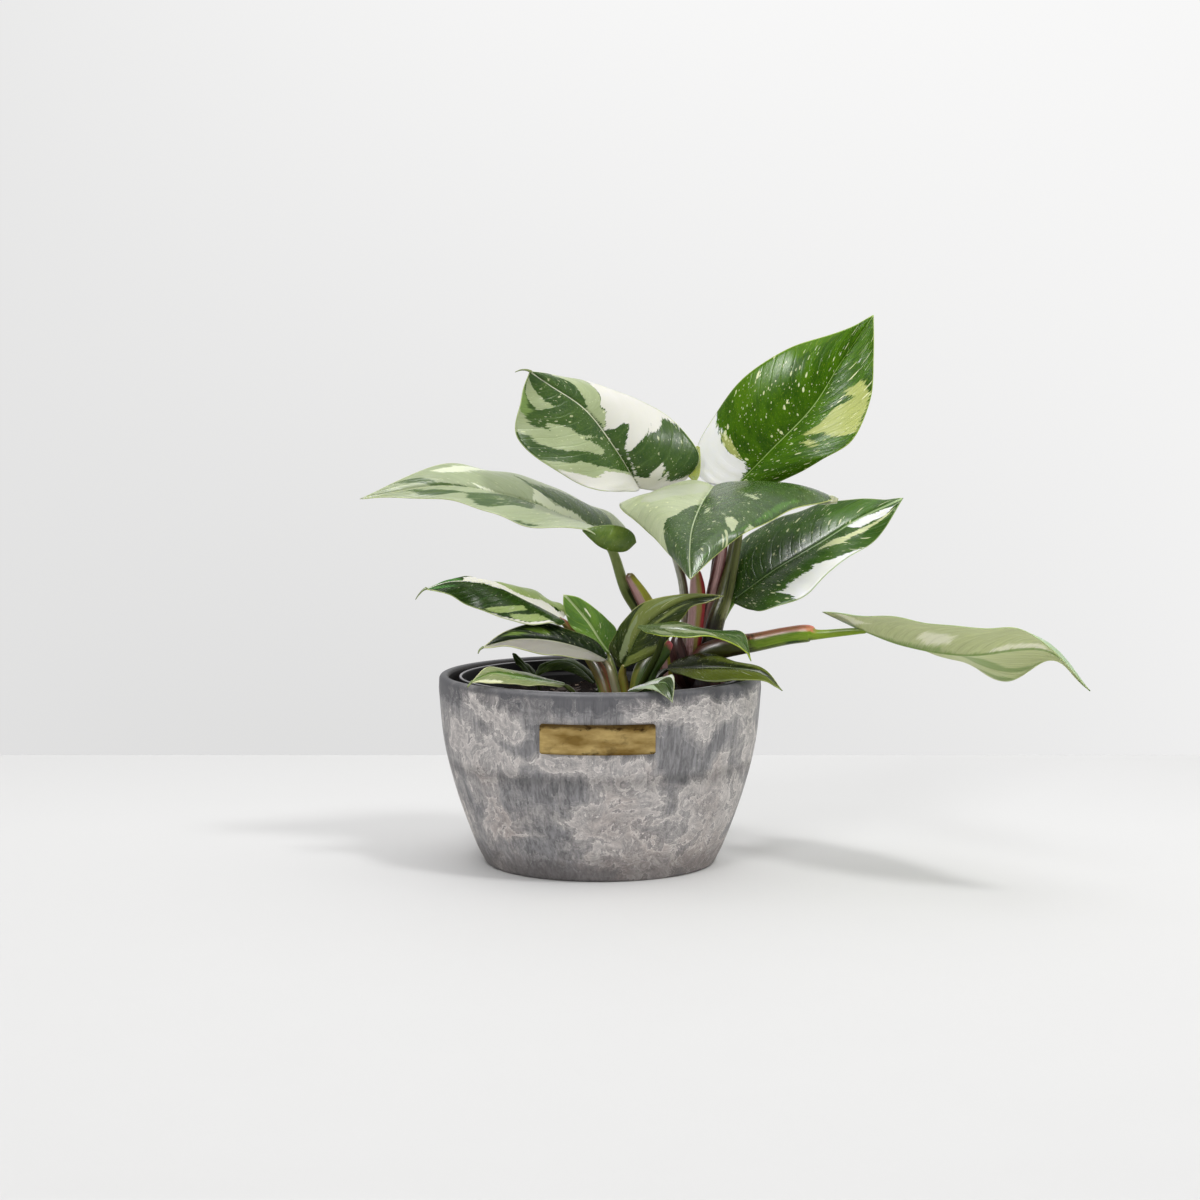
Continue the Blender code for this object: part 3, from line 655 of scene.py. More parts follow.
def make_bark():
    """Bark bits and crumbs, each a softened box that is turned, scaled and laid on the soil."""
    bpy.ops.mesh.primitive_cube_add(size=1)
    first = bpy.context.object
    in_edit(first, (bpy.ops.mesh.subdivide, dict(number_cuts=1)), (bpy.ops.mesh.vertices_smooth, dict(factor=0.35)))
    start = points_of(first)
    faces = [tuple(face.vertices) for face in first.data.polygons]
    bpy.data.objects.remove(first)
    points, polygons, pale = [], [], []
    for number in range(BARK_BITS):
        angle, far = dice.uniform(0, math.tau), BARK_REACH * math.sqrt(dice.random())
        x, y = far * math.cos(angle), far * math.sin(angle)
        size = np.array([dice.uniform(*limits) for limits in BARK_SIZES])
        size = size * (1 if number < BIG_BITS else CRUMB_SIZE)
        turn, tilt = dice.uniform(0, math.tau), dice.uniform(-BARK_TILT, BARK_TILT)
        bit = (start + np.array([[dice.uniform(-BARK_JITTER, BARK_JITTER) for _ in range(3)] for _ in start])) * size
        bit[:, 2] += bit[:, 0] * tilt
        c, s = math.cos(turn), math.sin(turn)
        lie = float(soil_height(np.array([x]), np.array([y]))[0])
        bit = np.stack([bit[:, 0] * c - bit[:, 1] * s + x, bit[:, 0] * s + bit[:, 1] * c + y,
                        bit[:, 2] + lie + size[2] * BARK_LIFT], 1)
        polygons += [tuple(len(points) + i for i in face) for face in faces]
        pale += [int(number % PALE_EVERY == 3)] * len(faces)
        points += list(bit * MM)
    mesh = bpy.data.meshes.new("bark_bits")
    mesh.from_pydata(points, [], polygons)
    mesh.polygons.foreach_set("material_index", pale)
    return new_object("bark_bits", mesh)


def paint_bark(name, first, second):
    paint = Paint(name, Specular_IOR_Level=0.3)
    fibre = paint.noise(paint.place(), (0.6, 1.4, 1.4), detail=5, rough=0.65)
    colour = paint.mix(paint.edge(fibre - 0.5, 0.4), first, second)
    return paint.skin(colour, 0.6 + fibre * 0.4, fibre, relief=0.0005, strength=0.8)


soil = deliver(make_soil(), "soil", "soil", finish=paint_soil())
bark = make_bark()
bark.data.materials.append(paint_bark("dark_bark", "1c130e", "4a3527"))
deliver(bark, "soil", finish=paint_bark("pale_bark", "7d6552", "c9b7a6"))
print("soil faces", len(soil.data.polygons), "bark faces", len(bark.data.polygons))

# %% [markdown]
# ## How a leaf is made
#
# A leaf blade hangs on three curves: the midrib and the two margins. A flat grid is laid on them,
# so its columns run along the leaf and its rows follow the side veins. The midrib is pressed in, the
# skin swells a little between the veins, and the margin waves. A cloth or sculpt could do this too,
# but the three curves keep every leaf exactly where the plain solid has it.
#
# Each blade also carries numbers for its finish. "lie" is the place along the veins, across the blade
# and in from the margin. "tones" says how deep a point lies inside the mid-green, sage and cream
# patches. The patches are drawn as outlines in (q, v): q runs from the stalk to the tip
# along the veins and v from the midrib (0) to the margin (1).

# %% Grid on three curves
ROW_STRETCH = 1.15  # the midrib runs ahead of the margins near the stalk
COLUMN_CROWD = 1.25  # the columns crowd towards the midrib
PUFF, SWEEP = 0.10, 0.10  # how far a half bulges up, and its veins bow back, as shares of its width
CORNER, ROUNDNESS = 0.06, 2.2  # share of the blade over which its shoulders are rounded, and how fully
VEIN_POWER = 1.2
FADE_TIP, FADE_FOOT = 0.08, 0.05  # shares of the blade over which its relief dies away
GROOVE_HALF, RIDGE_AT, RIDGE_HALF = 0.85, 2.4, 1.4  # half width of the midrib's groove, and the ridge beside it
LAYERS = {"mid": 0, "sage": 1, "white": 2}
FINGER = 2.6  # patches stretch along the veins, so distances there count for less
TONE_REACH = 7.0
SAMPLES = np.linspace(0, 1, 400)


def sampled(shares, *lines):
    """The points of finely drawn lines at shares 0..1 of their run."""
    return [np.stack([np.interp(shares, SAMPLES, line[:, i]) for i in range(3)], 1) for line in lines]


def half_blade(midrib, margin, left, rows, across, corner):
    """Points of one half at rows (0..1) and columns (0 midrib .. 1 margin), with the up direction."""
    spine_line = smooth_curve(midrib, SAMPLES**ROW_STRETCH)
    lines = spine_line, smooth_curve([*margin, midrib[-1]], SAMPLES), np.gradient(spine_line, axis=0)
    spine, edge, way = sampled(rows, *lines)
    way = unit_vectors(way)
    out = edge - spine
    width = np.linalg.norm(out, axis=1, keepdims=True)
    up = unit_vectors(np.cross(way, out) if left else np.cross(out, way))
    near = np.clip(rows / corner, 0, 1)
    v = (across * (1 - (1 - near) ** ROUNDNESS) ** (1 / ROUNDNESS))[:, None]
    bow = (up * PUFF - way * SWEEP) * width * 4 * v * (1 - v)
    return spine * (1 - v) + edge * v + bow, up, width[:, 0], v[:, 0]


def depth_inside(outline, q, v, q_unit, v_unit):
    """How far points lie inside an outline, in millimetres, negative outside it."""
    corners = np.array(outline, float)
    inside = np.zeros(len(q), bool)
    nearest = np.full(len(q), 1e9)
    for (aq, av), (bq, bv) in zip(corners, np.roll(corners, -1, axis=0)):
        crossing = (av > v) != (bv > v)
        inside ^= crossing & (q < (bq - aq) * (v - av) / np.where(bv == av, 1e-9, bv - av) + aq)
        dq, dv = (bq - aq) * q_unit, (bv - av) * v_unit
        pq, pv = (q - aq) * q_unit, (v - av) * v_unit
        share = np.clip((pq * dq + pv * dv) / max(dq * dq + dv * dv, 1e-9), 0, 1)
        nearest = np.minimum(nearest, np.hypot(pq - share * dq, pv - share * dv))
    return np.where(inside, nearest, -nearest)


def read_patches(text):
    """Rows such as "left sage: 10 20, 30 40, 50 60", each a half, a colour and hundredths of q and v."""
    return [(*names, read_points(outline, 100)) for *names, outline in re.findall(r"(\w+) (\w+):([^a-z]+)", text)]


def tone_fields(patches, q, side, v, length, width):
    """Signed depths of the three patch colours, painted one over another in the order given."""
    fields = np.full((len(q), 3), -TONE_REACH)
    for half, colour, outline in patches:
        depth = depth_inside(outline, q, v, length, width / FINGER)
        depth = np.where(side * (-1 if half == "left" else 1) >= 0, depth, -TONE_REACH)
        layer = LAYERS.get(colour, -1)  # "dark" has no layer of its own, and only clears the others
        if layer >= 0:
            fields[:, layer] = np.maximum(fields[:, layer], depth)
        for above in range(layer + 1, 3):
            fields[:, above] = np.minimum(fields[:, above], -depth)
    return np.clip(fields, -TONE_REACH, TONE_REACH)


def carry(piece, name, *columns):
    made = piece.data.attributes.new(name, "FLOAT_VECTOR", "POINT")
    values = columns[0] if len(columns) == 1 else np.stack(columns, 1)
    made.data.foreach_set("vector", np.ascontiguousarray(values, float).ravel())


def make_blade(name, lines, patches, finishes, rows=96, columns=64, groove=0.3, pleat=0.08, pitch=9.5, wave=0.9,
               thick=0.55, sweep=(0.2, 0.2), corner=CORNER):
    """A blade on its midrib and margins. Groove, pleat and wave are the depths of its relief."""
    blade, x, y = grid(name, columns, rows)
    s, v = (y + 1) / 2, np.abs(x) ** COLUMN_CROWD
    side = np.where(x < 0, -1, 1)
    midrib, left, right = lines
    length = length_of(smooth_curve(midrib, np.linspace(0, 1, 200)))
    points, up, width, reach = np.zeros((len(s), 3)), np.zeros((len(s), 3)), np.zeros(len(s)), np.zeros(len(s))
    for margin, sign in ((left, -1), (right, 1)):
        own = side == sign
        points[own], up[own], width[own], reach[own] = half_blade(
            midrib, margin, sign < 0, s[own], v[own], corner)
    q = s - np.where(side < 0, *sweep) * v**VEIN_POWER
    phase = np.random.default_rng(sum(map(ord, name))).uniform(0, math.tau, 4)
    across = reach * width
    fade = np.clip((1 - s) / FADE_TIP, 0, 1) * np.clip(s / FADE_FOOT, 0, 1)
    lift = -groove * np.exp(-((across / GROOVE_HALF) ** 2)) * np.clip((1 - s) * 8, 0, 1)
    lift += groove * 0.25 * np.exp(-(((across - RIDGE_AT) / RIDGE_HALF) ** 2)) * fade
    lift += pleat * np.sin(q * length / pitch * math.tau + phase[0] + side) * 4 * v * (1 - v) * fade
    lift += wave * v**3 * fade * (np.sin(s * 17 + phase[1] + side * 1.3) + 0.5 * np.sin(s * 31 + phase[2] * side))
    put_points(blade, points + up * lift[:, None])
    carry(blade, "lie", q * length, side * across, (1 - v) * width)
    carry(blade, "tones", tone_fields(read_patches(patches), q, side, v, length, float(width.max())))
    clean(blade, outwards=False)  # the grid already faces outwards
    for finish in finishes:
        blade.data.materials.append(finish)
    modify(blade, "SOLIDIFY", thickness=thick * MM, offset=0, material_offset=1)
    return smooth(blade)


# %% [markdown]
# ## The leaf finish
#
# The skin is waxy, so it has a soft gloss that breaks at each vein. Its colour has five layers: a
# green ground, mid-green patches, sage patches, cream patches, and fine cream flecks. The edge of each
# patch runs out in fingers along the veins, so the noise that frays it is fine from vein to vein and
# long along them. An image would hold one leaf only; this net gives every leaf its own edges.

# %% Leaf finish
LIVING_SKIN = dict(Subsurface_Weight=0.35, Subsurface_Radius=(1.0, 1.0, 0.6), Subsurface_Scale=0.0012)
FLECK_CREAM = "e6e9bc"
VEIN_PITCH, UNDER_VEIN_PITCH = 5.6, 6.2


def paint_leaf(name, colours, seed, flecks, rough=0.26, rib_width=0.45, mottle=0.5, gloss=0.24, fray=1.25,
               warm="8aa02a"):
    """Colours are the ground, the mid-green, the sage, the cream, the midrib and the edge."""
    ground, mid, sage, white, rib, edge = colours.split()
    paint = Paint(name, Specular_IOR_Level=gloss, **LIVING_SKIN)
    along, across, inward = paint.read("lie")
    mid_depth, sage_depth, white_depth = paint.read("tones")
    wide = abs(across)

    def noise(along_pitch, across_pitch, detail, rough=0.6, shift=0.0, slid=False):
        """Noise over the blade, at another depth for each shift, and slid along it on request."""
        first = along * along_pitch + seed if slid else along * along_pitch
        return paint.noise((first, across * across_pitch, seed + shift), detail=detail, rough=rough)

    fine = noise(1.3, 0.14, 5, 0.62, slid=True) - 0.5
    thread = noise(3.4, 0.22, 3, shift=4) - 0.5
    slow = noise(0.12, 0.07, 4, slid=True) - 0.5
    blot = noise(0.42, 0.26, 6, 0.68, shift=9) - 0.5
    freckle = noise(1.5, 1.1, 3, shift=6) - 0.5
    chosen = noise(0.07, 0.07, 2, 0.5, shift=2, slid=True) - 0.5
    grain = noise(1.2, 0.9, 4)
    shake = (fine * 1.6 + thread * 0.9 + blot * 2.2) * fray
    on_mid = paint.edge(mid_depth + shake * 1.3, 1.2)
    on_sage = paint.edge(sage_depth + shake, 0.28)
    on_white = paint.edge(white_depth + shake, 0.25)

    patchy = paint.edge(slow * 1.4 + blot * 0.9, 0.35)
    skin = paint.mix(patchy * mottle, shade(ground, 0.72), shade(ground, 1.45, (1.25, 1, 0.8)))
    skin = paint.mix(paint.edge(fine + blot, 0.5) * 0.3, skin, shade(ground, 0.6))
    skin = paint.mix(on_mid, skin, paint.mix(paint.edge(fine, 0.7) * 0.6, mid, shade(mid, 0.7)))
    skin = paint.mix(paint.edge(freckle - 0.13, 0.06) * flecks * 0.45, skin, warm)
    grey = paint.mix(paint.edge(fine * 1.2 + slow * 0.8, 0.5) * 0.5, sage, shade(sage, 0.66))
    grey = paint.mix(paint.edge(blot + fine * 0.6 - 0.2, 0.1) * 0.6, grey, white)
    skin = paint.mix(on_sage, skin, grey)
    skin = paint.mix(on_white, skin, paint.mix(paint.edge(slow + 0.02, 0.5) * 0.14, white, sage))
    cell = paint.join((along * 0.42 + seed + fine * 0.8, across * 0.26, seed))
    tiny_cell = paint.join((along * 0.95 + seed, across * 0.7, seed + 3))
    cell_size = paint.split(paint.cells(cell, out=1))[0].power(3.0)
    tiny_size = paint.split(paint.cells(tiny_cell, out=1))[1].power(4.0)
    fleck = paint.edge(cell_size * 0.30 + chosen * 0.25 + (flecks - 0.5) * 0.14 - paint.cells(cell), 0.05)
    tiny = paint.edge(tiny_size * 0.34 + chosen * 0.2 + (flecks - 0.6) * 0.1 - paint.cells(tiny_cell), 0.06)
    fleck = (fleck + tiny * 0.8).clamp() * (0.25 + flecks * 0.75) * (1 - on_white)
    skin = paint.mix(fleck, skin, FLECK_CREAM)
    skin = paint.mix(paint.edge(0.35 - inward, 0.3) * 0.8, skin, edge)
    skin = paint.mix(paint.edge(rib_width - wide, 0.4) * (1 - on_white * 0.5) * 0.8, skin, rib)
    shadow_line = paint.edge(0.5 - abs(wide - rib_width - 0.7), 0.6) * (1 - on_white) * 0.15
    skin = paint.mix(shadow_line, skin, shade(ground, 0.5))
    veins = (along * (math.pi / VEIN_PITCH) + slow * 2.0).sine()
    grooves = (1 - abs(veins)).power(5.0) * paint.edge(wide - 2.5, 5.0)
    skin = paint.mix(grooves * (1 - on_white) * 0.16, skin, mid)
    height = grain * 0.12 - grooves * (1 - on_white * 0.7) * 0.25 + slow * 0.5 + thread * (1 - on_white) * 0.12
    roughness = rough + (grain - 0.5) * 0.16 + on_white * 0.08 + on_sage * 0.04
    return paint.skin(skin, roughness.clamp(), height, relief=0.0006, strength=0.6)


def paint_under(name, colours, seed):
    """The underside: paler, matt, with a raised midrib and the patches showing through."""
    ground, sage, white, rib = colours.split()
    paint = Paint(name, Specular_IOR_Level=0.18, **LIVING_SKIN)
    along, across, _ = paint.read("lie")
    _, sage_depth, white_depth = paint.read("tones")
    fine = paint.noise((along * 1.3 + seed, across * 0.1, seed), detail=4, rough=0.6) - 0.5
    slow = paint.noise((along * 0.2 + seed, across * 0.1, seed), detail=4, rough=0.6) - 0.5
    shake = (fine * 1.8 + slow) * 2.5
    skin = paint.mix(paint.edge(slow + fine * 0.4, 0.6) * 0.6, ground, shade(ground, 0.7))
    pale = paint.mix(paint.edge(fine * 1.4 + slow, 0.5) * 0.5, sage, shade(sage, 0.62))
    skin = paint.mix(paint.edge(sage_depth + shake, 1.2) * 0.8, skin, pale)
    skin = paint.mix(paint.edge(white_depth + shake, 1.2) * 0.8, skin, white)
    skin = paint.mix(paint.edge(0.9 - abs(across), 0.5) * 0.8, skin, rib)
    ridges = (1 - abs((along * (math.pi / UNDER_VEIN_PITCH)).sine())).power(5.0)
    return paint.skin(skin, 0.55 + fine * 0.2, ridges + slow, relief=0.0004, strength=0.6)


print("leaf finish ready")

# %% [markdown]
# ## The sixteen blades
#
# Each entry gives three lines as x y z, from the stalk to the tip, in millimetres: the midrib, the
# left margin and the right one. Left and right are as seen along the leaf with its upper face up.
# "sweep" says how far the side veins run forward on each half, and "corner" how short its shoulders
# are. The lines could be measured off the plain solids, but a table can be read and corrected.

# %% Where every blade lies
BLADES = {
    "top_right": ("""
    77 20 210, 96 14 230, 119 14 254, 136 22 280, 155 34 306
    55 28 213, 57 34 235, 78 26 267, 106 22 287, 137 27 297
    91 13 208, 115 -3 221, 138 -6 235, 151 8 259, 154 22 283""", dict(sweep=(0.16, 0.24))),
    "top_left": ("""
    22 8 209, 8 0 232, -8 -5 253, -28 -11 267, -38.5 -20 274.5
    15 -8 208, -2 -22 210, -27 -26 222, -45 -22 238, -44 -18 258
    48 9 212, 55 9 229, 34 20 252, 11 18 262, -17 4 271""", dict(sweep=(0.13, 0.25))),
    "centre": ("""
    63 -5 211, 55 -40 203, 49 -68 192, 47 -88 181, 47 -100 167
    84 1 210, 108 -4 208, 127 -30 206, 99 -63 199, 74 -84 189
    42 1 212, 20 -1 203, 11 -22 200, 23 -42 191, 36 -73 179""", {}),
    "right": ("""
    75 0 147, 97 -6 164, 123 -8 180, 144 -6 193, 169 0 204
    72 16 152, 78 22 176, 99 19 190, 120 12 199, 145 3 203
    78 -17 145, 90 -32 144, 112 -36 154, 132 -28 170, 154 -10 183""", {}),
    "long_left": ("""
    3 5 180, -17 2 192, -46 -2 204, -87 -6 211, -133 -8 204
    10 -18 176, -8 -31 188, -33 -33 190, -60 -27 197, -89 -16 205
    17 22 185, 0 33 196, -26 32 208, -57 20 218, -89 4 222""", dict(sweep=(0.25, 0.25))),
    "far_right": ("""
    143 -22 133, 166 -42 126, 195 -70 124, 231 -108 131, 251 -126 112
    142 10 131, 168 -1 125, 197 -33 116, 217 -69 110, 234 -106 125
    120 -28 143, 144 -56 144, 171 -86 143, 200 -112 143, 225 -126 139""", dict(sweep=(0.25, 0.25), corner=0.015)),
    "low_left": ("""
    -21 -30 139, -39 -32 149, -60 -36 159, -80 -40 161, -95 -44 157
    -19 -37 137, -28 -46 138, -46 -48 140, -66 -46 146, -81 -44 153.5
    -18 -24 144, -27 -16 149, -42 -18 155, -60 -26 159.5, -78 -36 162""", {}),
    "white_edged": ("""
    3 -40 118, -9 -42 124, -27 -46 129, -46 -50 130, -64 -54 126
    2 -46 117, -7 -56 120, -20 -59 122, -35 -58 124, -50 -56 127
    4 -35 119, -2 -32 127, -17 -34 134, -32 -38 138, -50 -47 135""", {}),
    "young_upright": ("""
    5 -22 119, 0 -22 126, -6 -24 136, -13 -27 145, -20 -30 153
    3 -25 120, -5 -28 126, -13 -29 132, -17 -29 137, -20 -30 146
    7 -19 120, 9 -16 131, 3 -18 139, -5 -22 146, -12 -27 151""", {}),
    "arching": ("""
    12 -38 113, 16 -42 122, 24 -48 137, 43 -58 151, 66 -70 156
    9 -33 115, 6 -30 125, 12 -36 138, 26 -48 151, 48 -60 156
    17 -42 116, 28 -52 122, 36 -58 130, 43 -64 143, 53 -69 151""", {}),
    "front_right": ("""
    20 -62 138, 37 -70 138, 56 -74 137, 73 -77 134, 80 -80 122
    21 -57 138, 29 -62 140, 43 -66 141, 60 -68 137, 76 -73 136
    22 -67 137, 32 -77 135, 45 -81 135, 60 -83 135, 75 -82 129""", {}),
    "rim_right": ("""
    37 -25 111, 52 -30 112, 71 -36 113, 87 -42 111, 99 -48 102
    39 -20 113, 46 -14 116, 57 -17 119, 73 -26 116, 89 -39 113
    39 -31 110, 45 -41 110, 57 -47 107, 74 -49 108, 90 -48 107""", {}),
    "rim_front": ("""
    15 -66 104, 22 -74 107, 29 -82 110, 35 -89 111, 38 -97 102
    16 -62 104, 21 -62 106, 27 -68 109, 33 -77 113, 39 -90 115
    16 -70 104, 21 -79 106, 26 -86 108, 31 -92 107, 36 -96 104""", {}),
    "rim_left": ("""
    -19 -45 105, -33 -50 108, -46 -56 111, -58 -62 113, -69 -68 109
    -20 -50 104, -29 -58 106, -39 -63 107, -50 -66 108, -60 -68 109
    -20 -40 105, -28 -37 106, -38 -41 110, -50 -50 114, -61 -60 116""", {}),
    "back_sprout": ("""
    -36 10 102, -39 8 105, -42 6 109, -46 4 113, -49 2 117
    -37 8 103, -40 4 104, -44 3 108, -47 3 111, -49 2 115
    -35 12 103, -37 13 105, -40 11 109, -44 8 112, -47 4 116""", {}),
    "soil_back": ("""
    -3 0 100, -10 -4 108, -18 -8 113, -28 -14 113, -36 -20 107
    -4 -4 100, -11 -10 105, -19 -14 109, -28 -17 109, -34 -20 107
    -2 4 101, -6 5 107, -15 2 113, -25 -6 114, -33 -15 112""", {}),
}


def blade_lines(name):
    return [read_points(line) for line in BLADES[name][0].strip().splitlines()]


# %% Patches of colour, outlined in hundredths of q and v
PATCHES = {
    "top_right": """
    left white: 14 110, 15 83, 17 73, 20 55, 20 35, 19 15, 16 8, 6 2, -30 0, -50 110
    left sage: 14 95, 17 70, 20.5 55, 20.5 35, 19 15, 17.5 35, 16 70
    right sage: 36 30, 42 43, 48 43, 45 72, 55 45, 51 80, 39 98, 22 98, 25 78, 32 58, 35 42
    left mid: 24 70, 30 62, 62 90, 70 110, 22 110
    right sage: 30 40, 31 46, 24 65, 23 62
    left white: 75 26, 75.5 30, 74 32, 73.5 28
    right white: 65 56, 66 62, 64 62""",
    "top_left": """
    left mid: 80 110, 77 93, 69 83, 63 74, 60 87, 62 110
    left sage: 86 80, 81 93, 74 88, 68 75, 64 65, 64 53, 64 30, 69 43, 75 48, 79 55, 83 64
    left sage: 63 98, 58 83, 54 77, 51 62, 57 63, 51 38, 45 35, 41 13, 43 35, 36 23, 32 23, 31 32,
        35 42, 40 73, 44 85, 49 85, 51 105, 60 110
    left sage: 34 110, 30 72, 31 63, 28 57, 19 28, 13 2, -40 0, -50 110
    left white: 10 2, 17 28, 22 52, 18 72, 26 95, 20 110, -40 110, -40 0
    right white: 60 110, 50 100, 53 70, 54 52, 52 25, 48 22, 46 15, 41 3, -30 0, -50 110
    right sage: 70 75, 66 55, 64 32, 60 17, 55 2, 41 3, 45 13, 48 25, 52 23, 53 47, 53 68, 50 100,
        60 110
    right dark: 41 3, 39 13, 38 32, 35 37, 32 22, 29 12, 22 9, 10 3, 12 0, 40 0
    right dark: 26 10, 26 40, 23 67, 24 50, 17 80, 17 87, 10 97, -2 110, -21 110, -1 48, 6 50, 3 37,
        9 48, 12 45, 11 28, 8 23, 10 8""",
    "centre": """
    right sage: -30 0, 31 0, 40 12, 49 25, 52 45, 54 53, 58 68, 61 80, 63 110, -50 110
    right white: 5 7, 2 30, 7 53, 22 57, 30 73, 37 53, 32 30, 20 12, 12 0
    right sage: 34 70, 35 47, 28 27, 31 5, 40 32, 40 73
    left sage: 34 3, 41 8, 50 15, 46 8
    left sage: 52 27, 57 43, 58 57, 59 70, 63 82, 64 77, 63 53
    left sage: 56 85, 54 100, 59 98, 57 93
    left sage: 36 30, 40 40, 42 58, 44 55, 41 38
    left mid: 91 45, 81 60, 72 70, 63 82, 52 92, 41 93, 34 92, 34 85, 47 85, 59 92, 71 73, 81 50, 89 37
    right white: -25 72, -5 66, 4 85, 8 110, -30 110""",
    "right": """
    right sage: 49 30, 56 22, 64 35, 70 37, 79 57, 83 65, 78 70, 72 57, 63 50, 56 53, 53 37
    right white: 86 52, 88 20, 80 2, 70 2, 71 33, 77 38, 79 57
    right white: 58 110, 49 92, 43 80, 39 63, 36 70, 29 62, 24 68, 21 72, 18 70, 18 92, 15 97, 17 110
    right mid: 9 87, 12 110, 9 98
    left mid: 55 58, 63 65, 63 110, 69 110, 83 17, 74 3, 58 2""",
    "long_left": """
    right sage: -60 0, 110 0, 110 120, -60 120
    left sage: -60 0, 110 0, 110 120, -60 120
    right dark: 36 87, 39 57, 24 75, 16 75, 2 87, -1 47, 13 18, 21 5, 25 18, 35 20, 42 32, 42 52
    right white: 42 43, 39 17, 28 18, 21 12, 18 2, 41 2, 49 7
    right white: 65 75, 59 80, 48 92, 42 92, 62 52, 68 55
    right white: 68 17, 62 3, 66 0
    right dark: 69 98, 80 42, 81 3, 66 0, 72 3, 78 15
    left dark: 90 2, 75 42, 62 47, 60 82, 66 83
    left dark: 61 53, 61 30, 57 2, 49 0, 38 52, 43 57, 41 88, 46 88, 54 73
    left dark: 30 110, 26 93, 17 95, 20 110""",
    "far_right": """
    right sage: -60 0, 110 0, 110 120, -60 120
    left sage: -60 0, 110 0, 110 120, -60 120
    right white: 32 25, 31 48, 43 43, 46 20, 38 12
    right white: -22 100, 1 43, 9 38, -1 15
    right white: 61 2, 63 17, 69 18, 74 23, 79 3
    right dark: 12 2, 26 5, 38 8, 44 10, 51 0, 18 0
    left dark: 51 7, 55 22, 49 63, 51 97, 46 90, 43 50
    left dark: 27 80, 36 82, 43 98, 54 92, 34 100""",
    "low_left": """
    left mid: 95 10, 82 30, 70 35, 80 70, 93 80
    left sage: 39 95, 38 72, 31 40, 26 52, 30 77, 32 92
    left sage: 28 82, 18 58, 4 83, 12 92, 23 95
    left white: 34 97, 23 95, 12 92, 4 85, -10 110, 35 110
    left white: 71 0, 62 8, 59 2, 52 8, 46 2, 28 5, 18 6, 4 20, -20 50, -30 0
    right mid: 72 0, 100 0, 100 110, 66 110
    right sage: -30 30, 6 42, 17 35, 28 20, 36 5, 49 15, 55 60, 50 110, -40 110
    right white: 72 0, 66 50, 55 90, 49 60, 49 28, 43 12, 36 10, 28 20, 21 35, 14 37, 5 25, -2 50,
        -30 50, -30 0""",
    "white_edged": """
    left white: -40 4, 97 2, 100 120, -60 120
    right mid: 59 67, 50 65, 50 38, 54 23, 60 43
    right mid: 75 60, 66 70, 64 30, 72 35""",
    "young_upright": """
    right white: 55 30, 62 45, 58 60, 52 40""",
    "arching": """
    left mid: 30 0, 100 0, 100 120, 42 120, 36 60
    left sage: 10 14, 27 8, 37 16, 46 42, 42 66, 36 52, 27 36, 15 26
    left sage: 50 50, 62 60, 66 85, 55 80
    right mid: 2 5, 25 5, 30 50, 22 95, 5 90
    right mid: 42 30, 62 45, 68 70, 55 60""",
    "front_right": """
    left mid: -30 0, 45 0, 55 120, -50 120
    right mid: -30 0, 100 0, 100 120, -50 120
    right sage: 26 5, 42 10, 50 50, 46 90, 34 70, 20 50
    left sage: 22 5, 34 10, 40 50, 32 60, 20 40
    right sage: 2 60, 14 50, 18 80, 6 90
    right dark: 52 5, 80 5, 78 55, 60 65""",
    "rim_right": """
    left mid: 30 40, 70 30, 80 90, 40 110
    right mid: -20 30, 90 20, 100 110, -20 110""",
    "rim_front": """
    left white: -20 5, 60 5, 70 120, -40 120
    left sage: 30 30, 60 30, 60 70, 30 80
    right sage: 10 30, 50 30, 50 90, 10 100""",
    "rim_left": """
    left sage: -40 0, 95 0, 90 120, -40 120
    right sage: -40 30, 85 25, 80 120, -40 120
    left white: 50 80, 80 70, 85 110, 45 110
    left mid: 15 15, 60 15, 50 50, 10 55""",
}

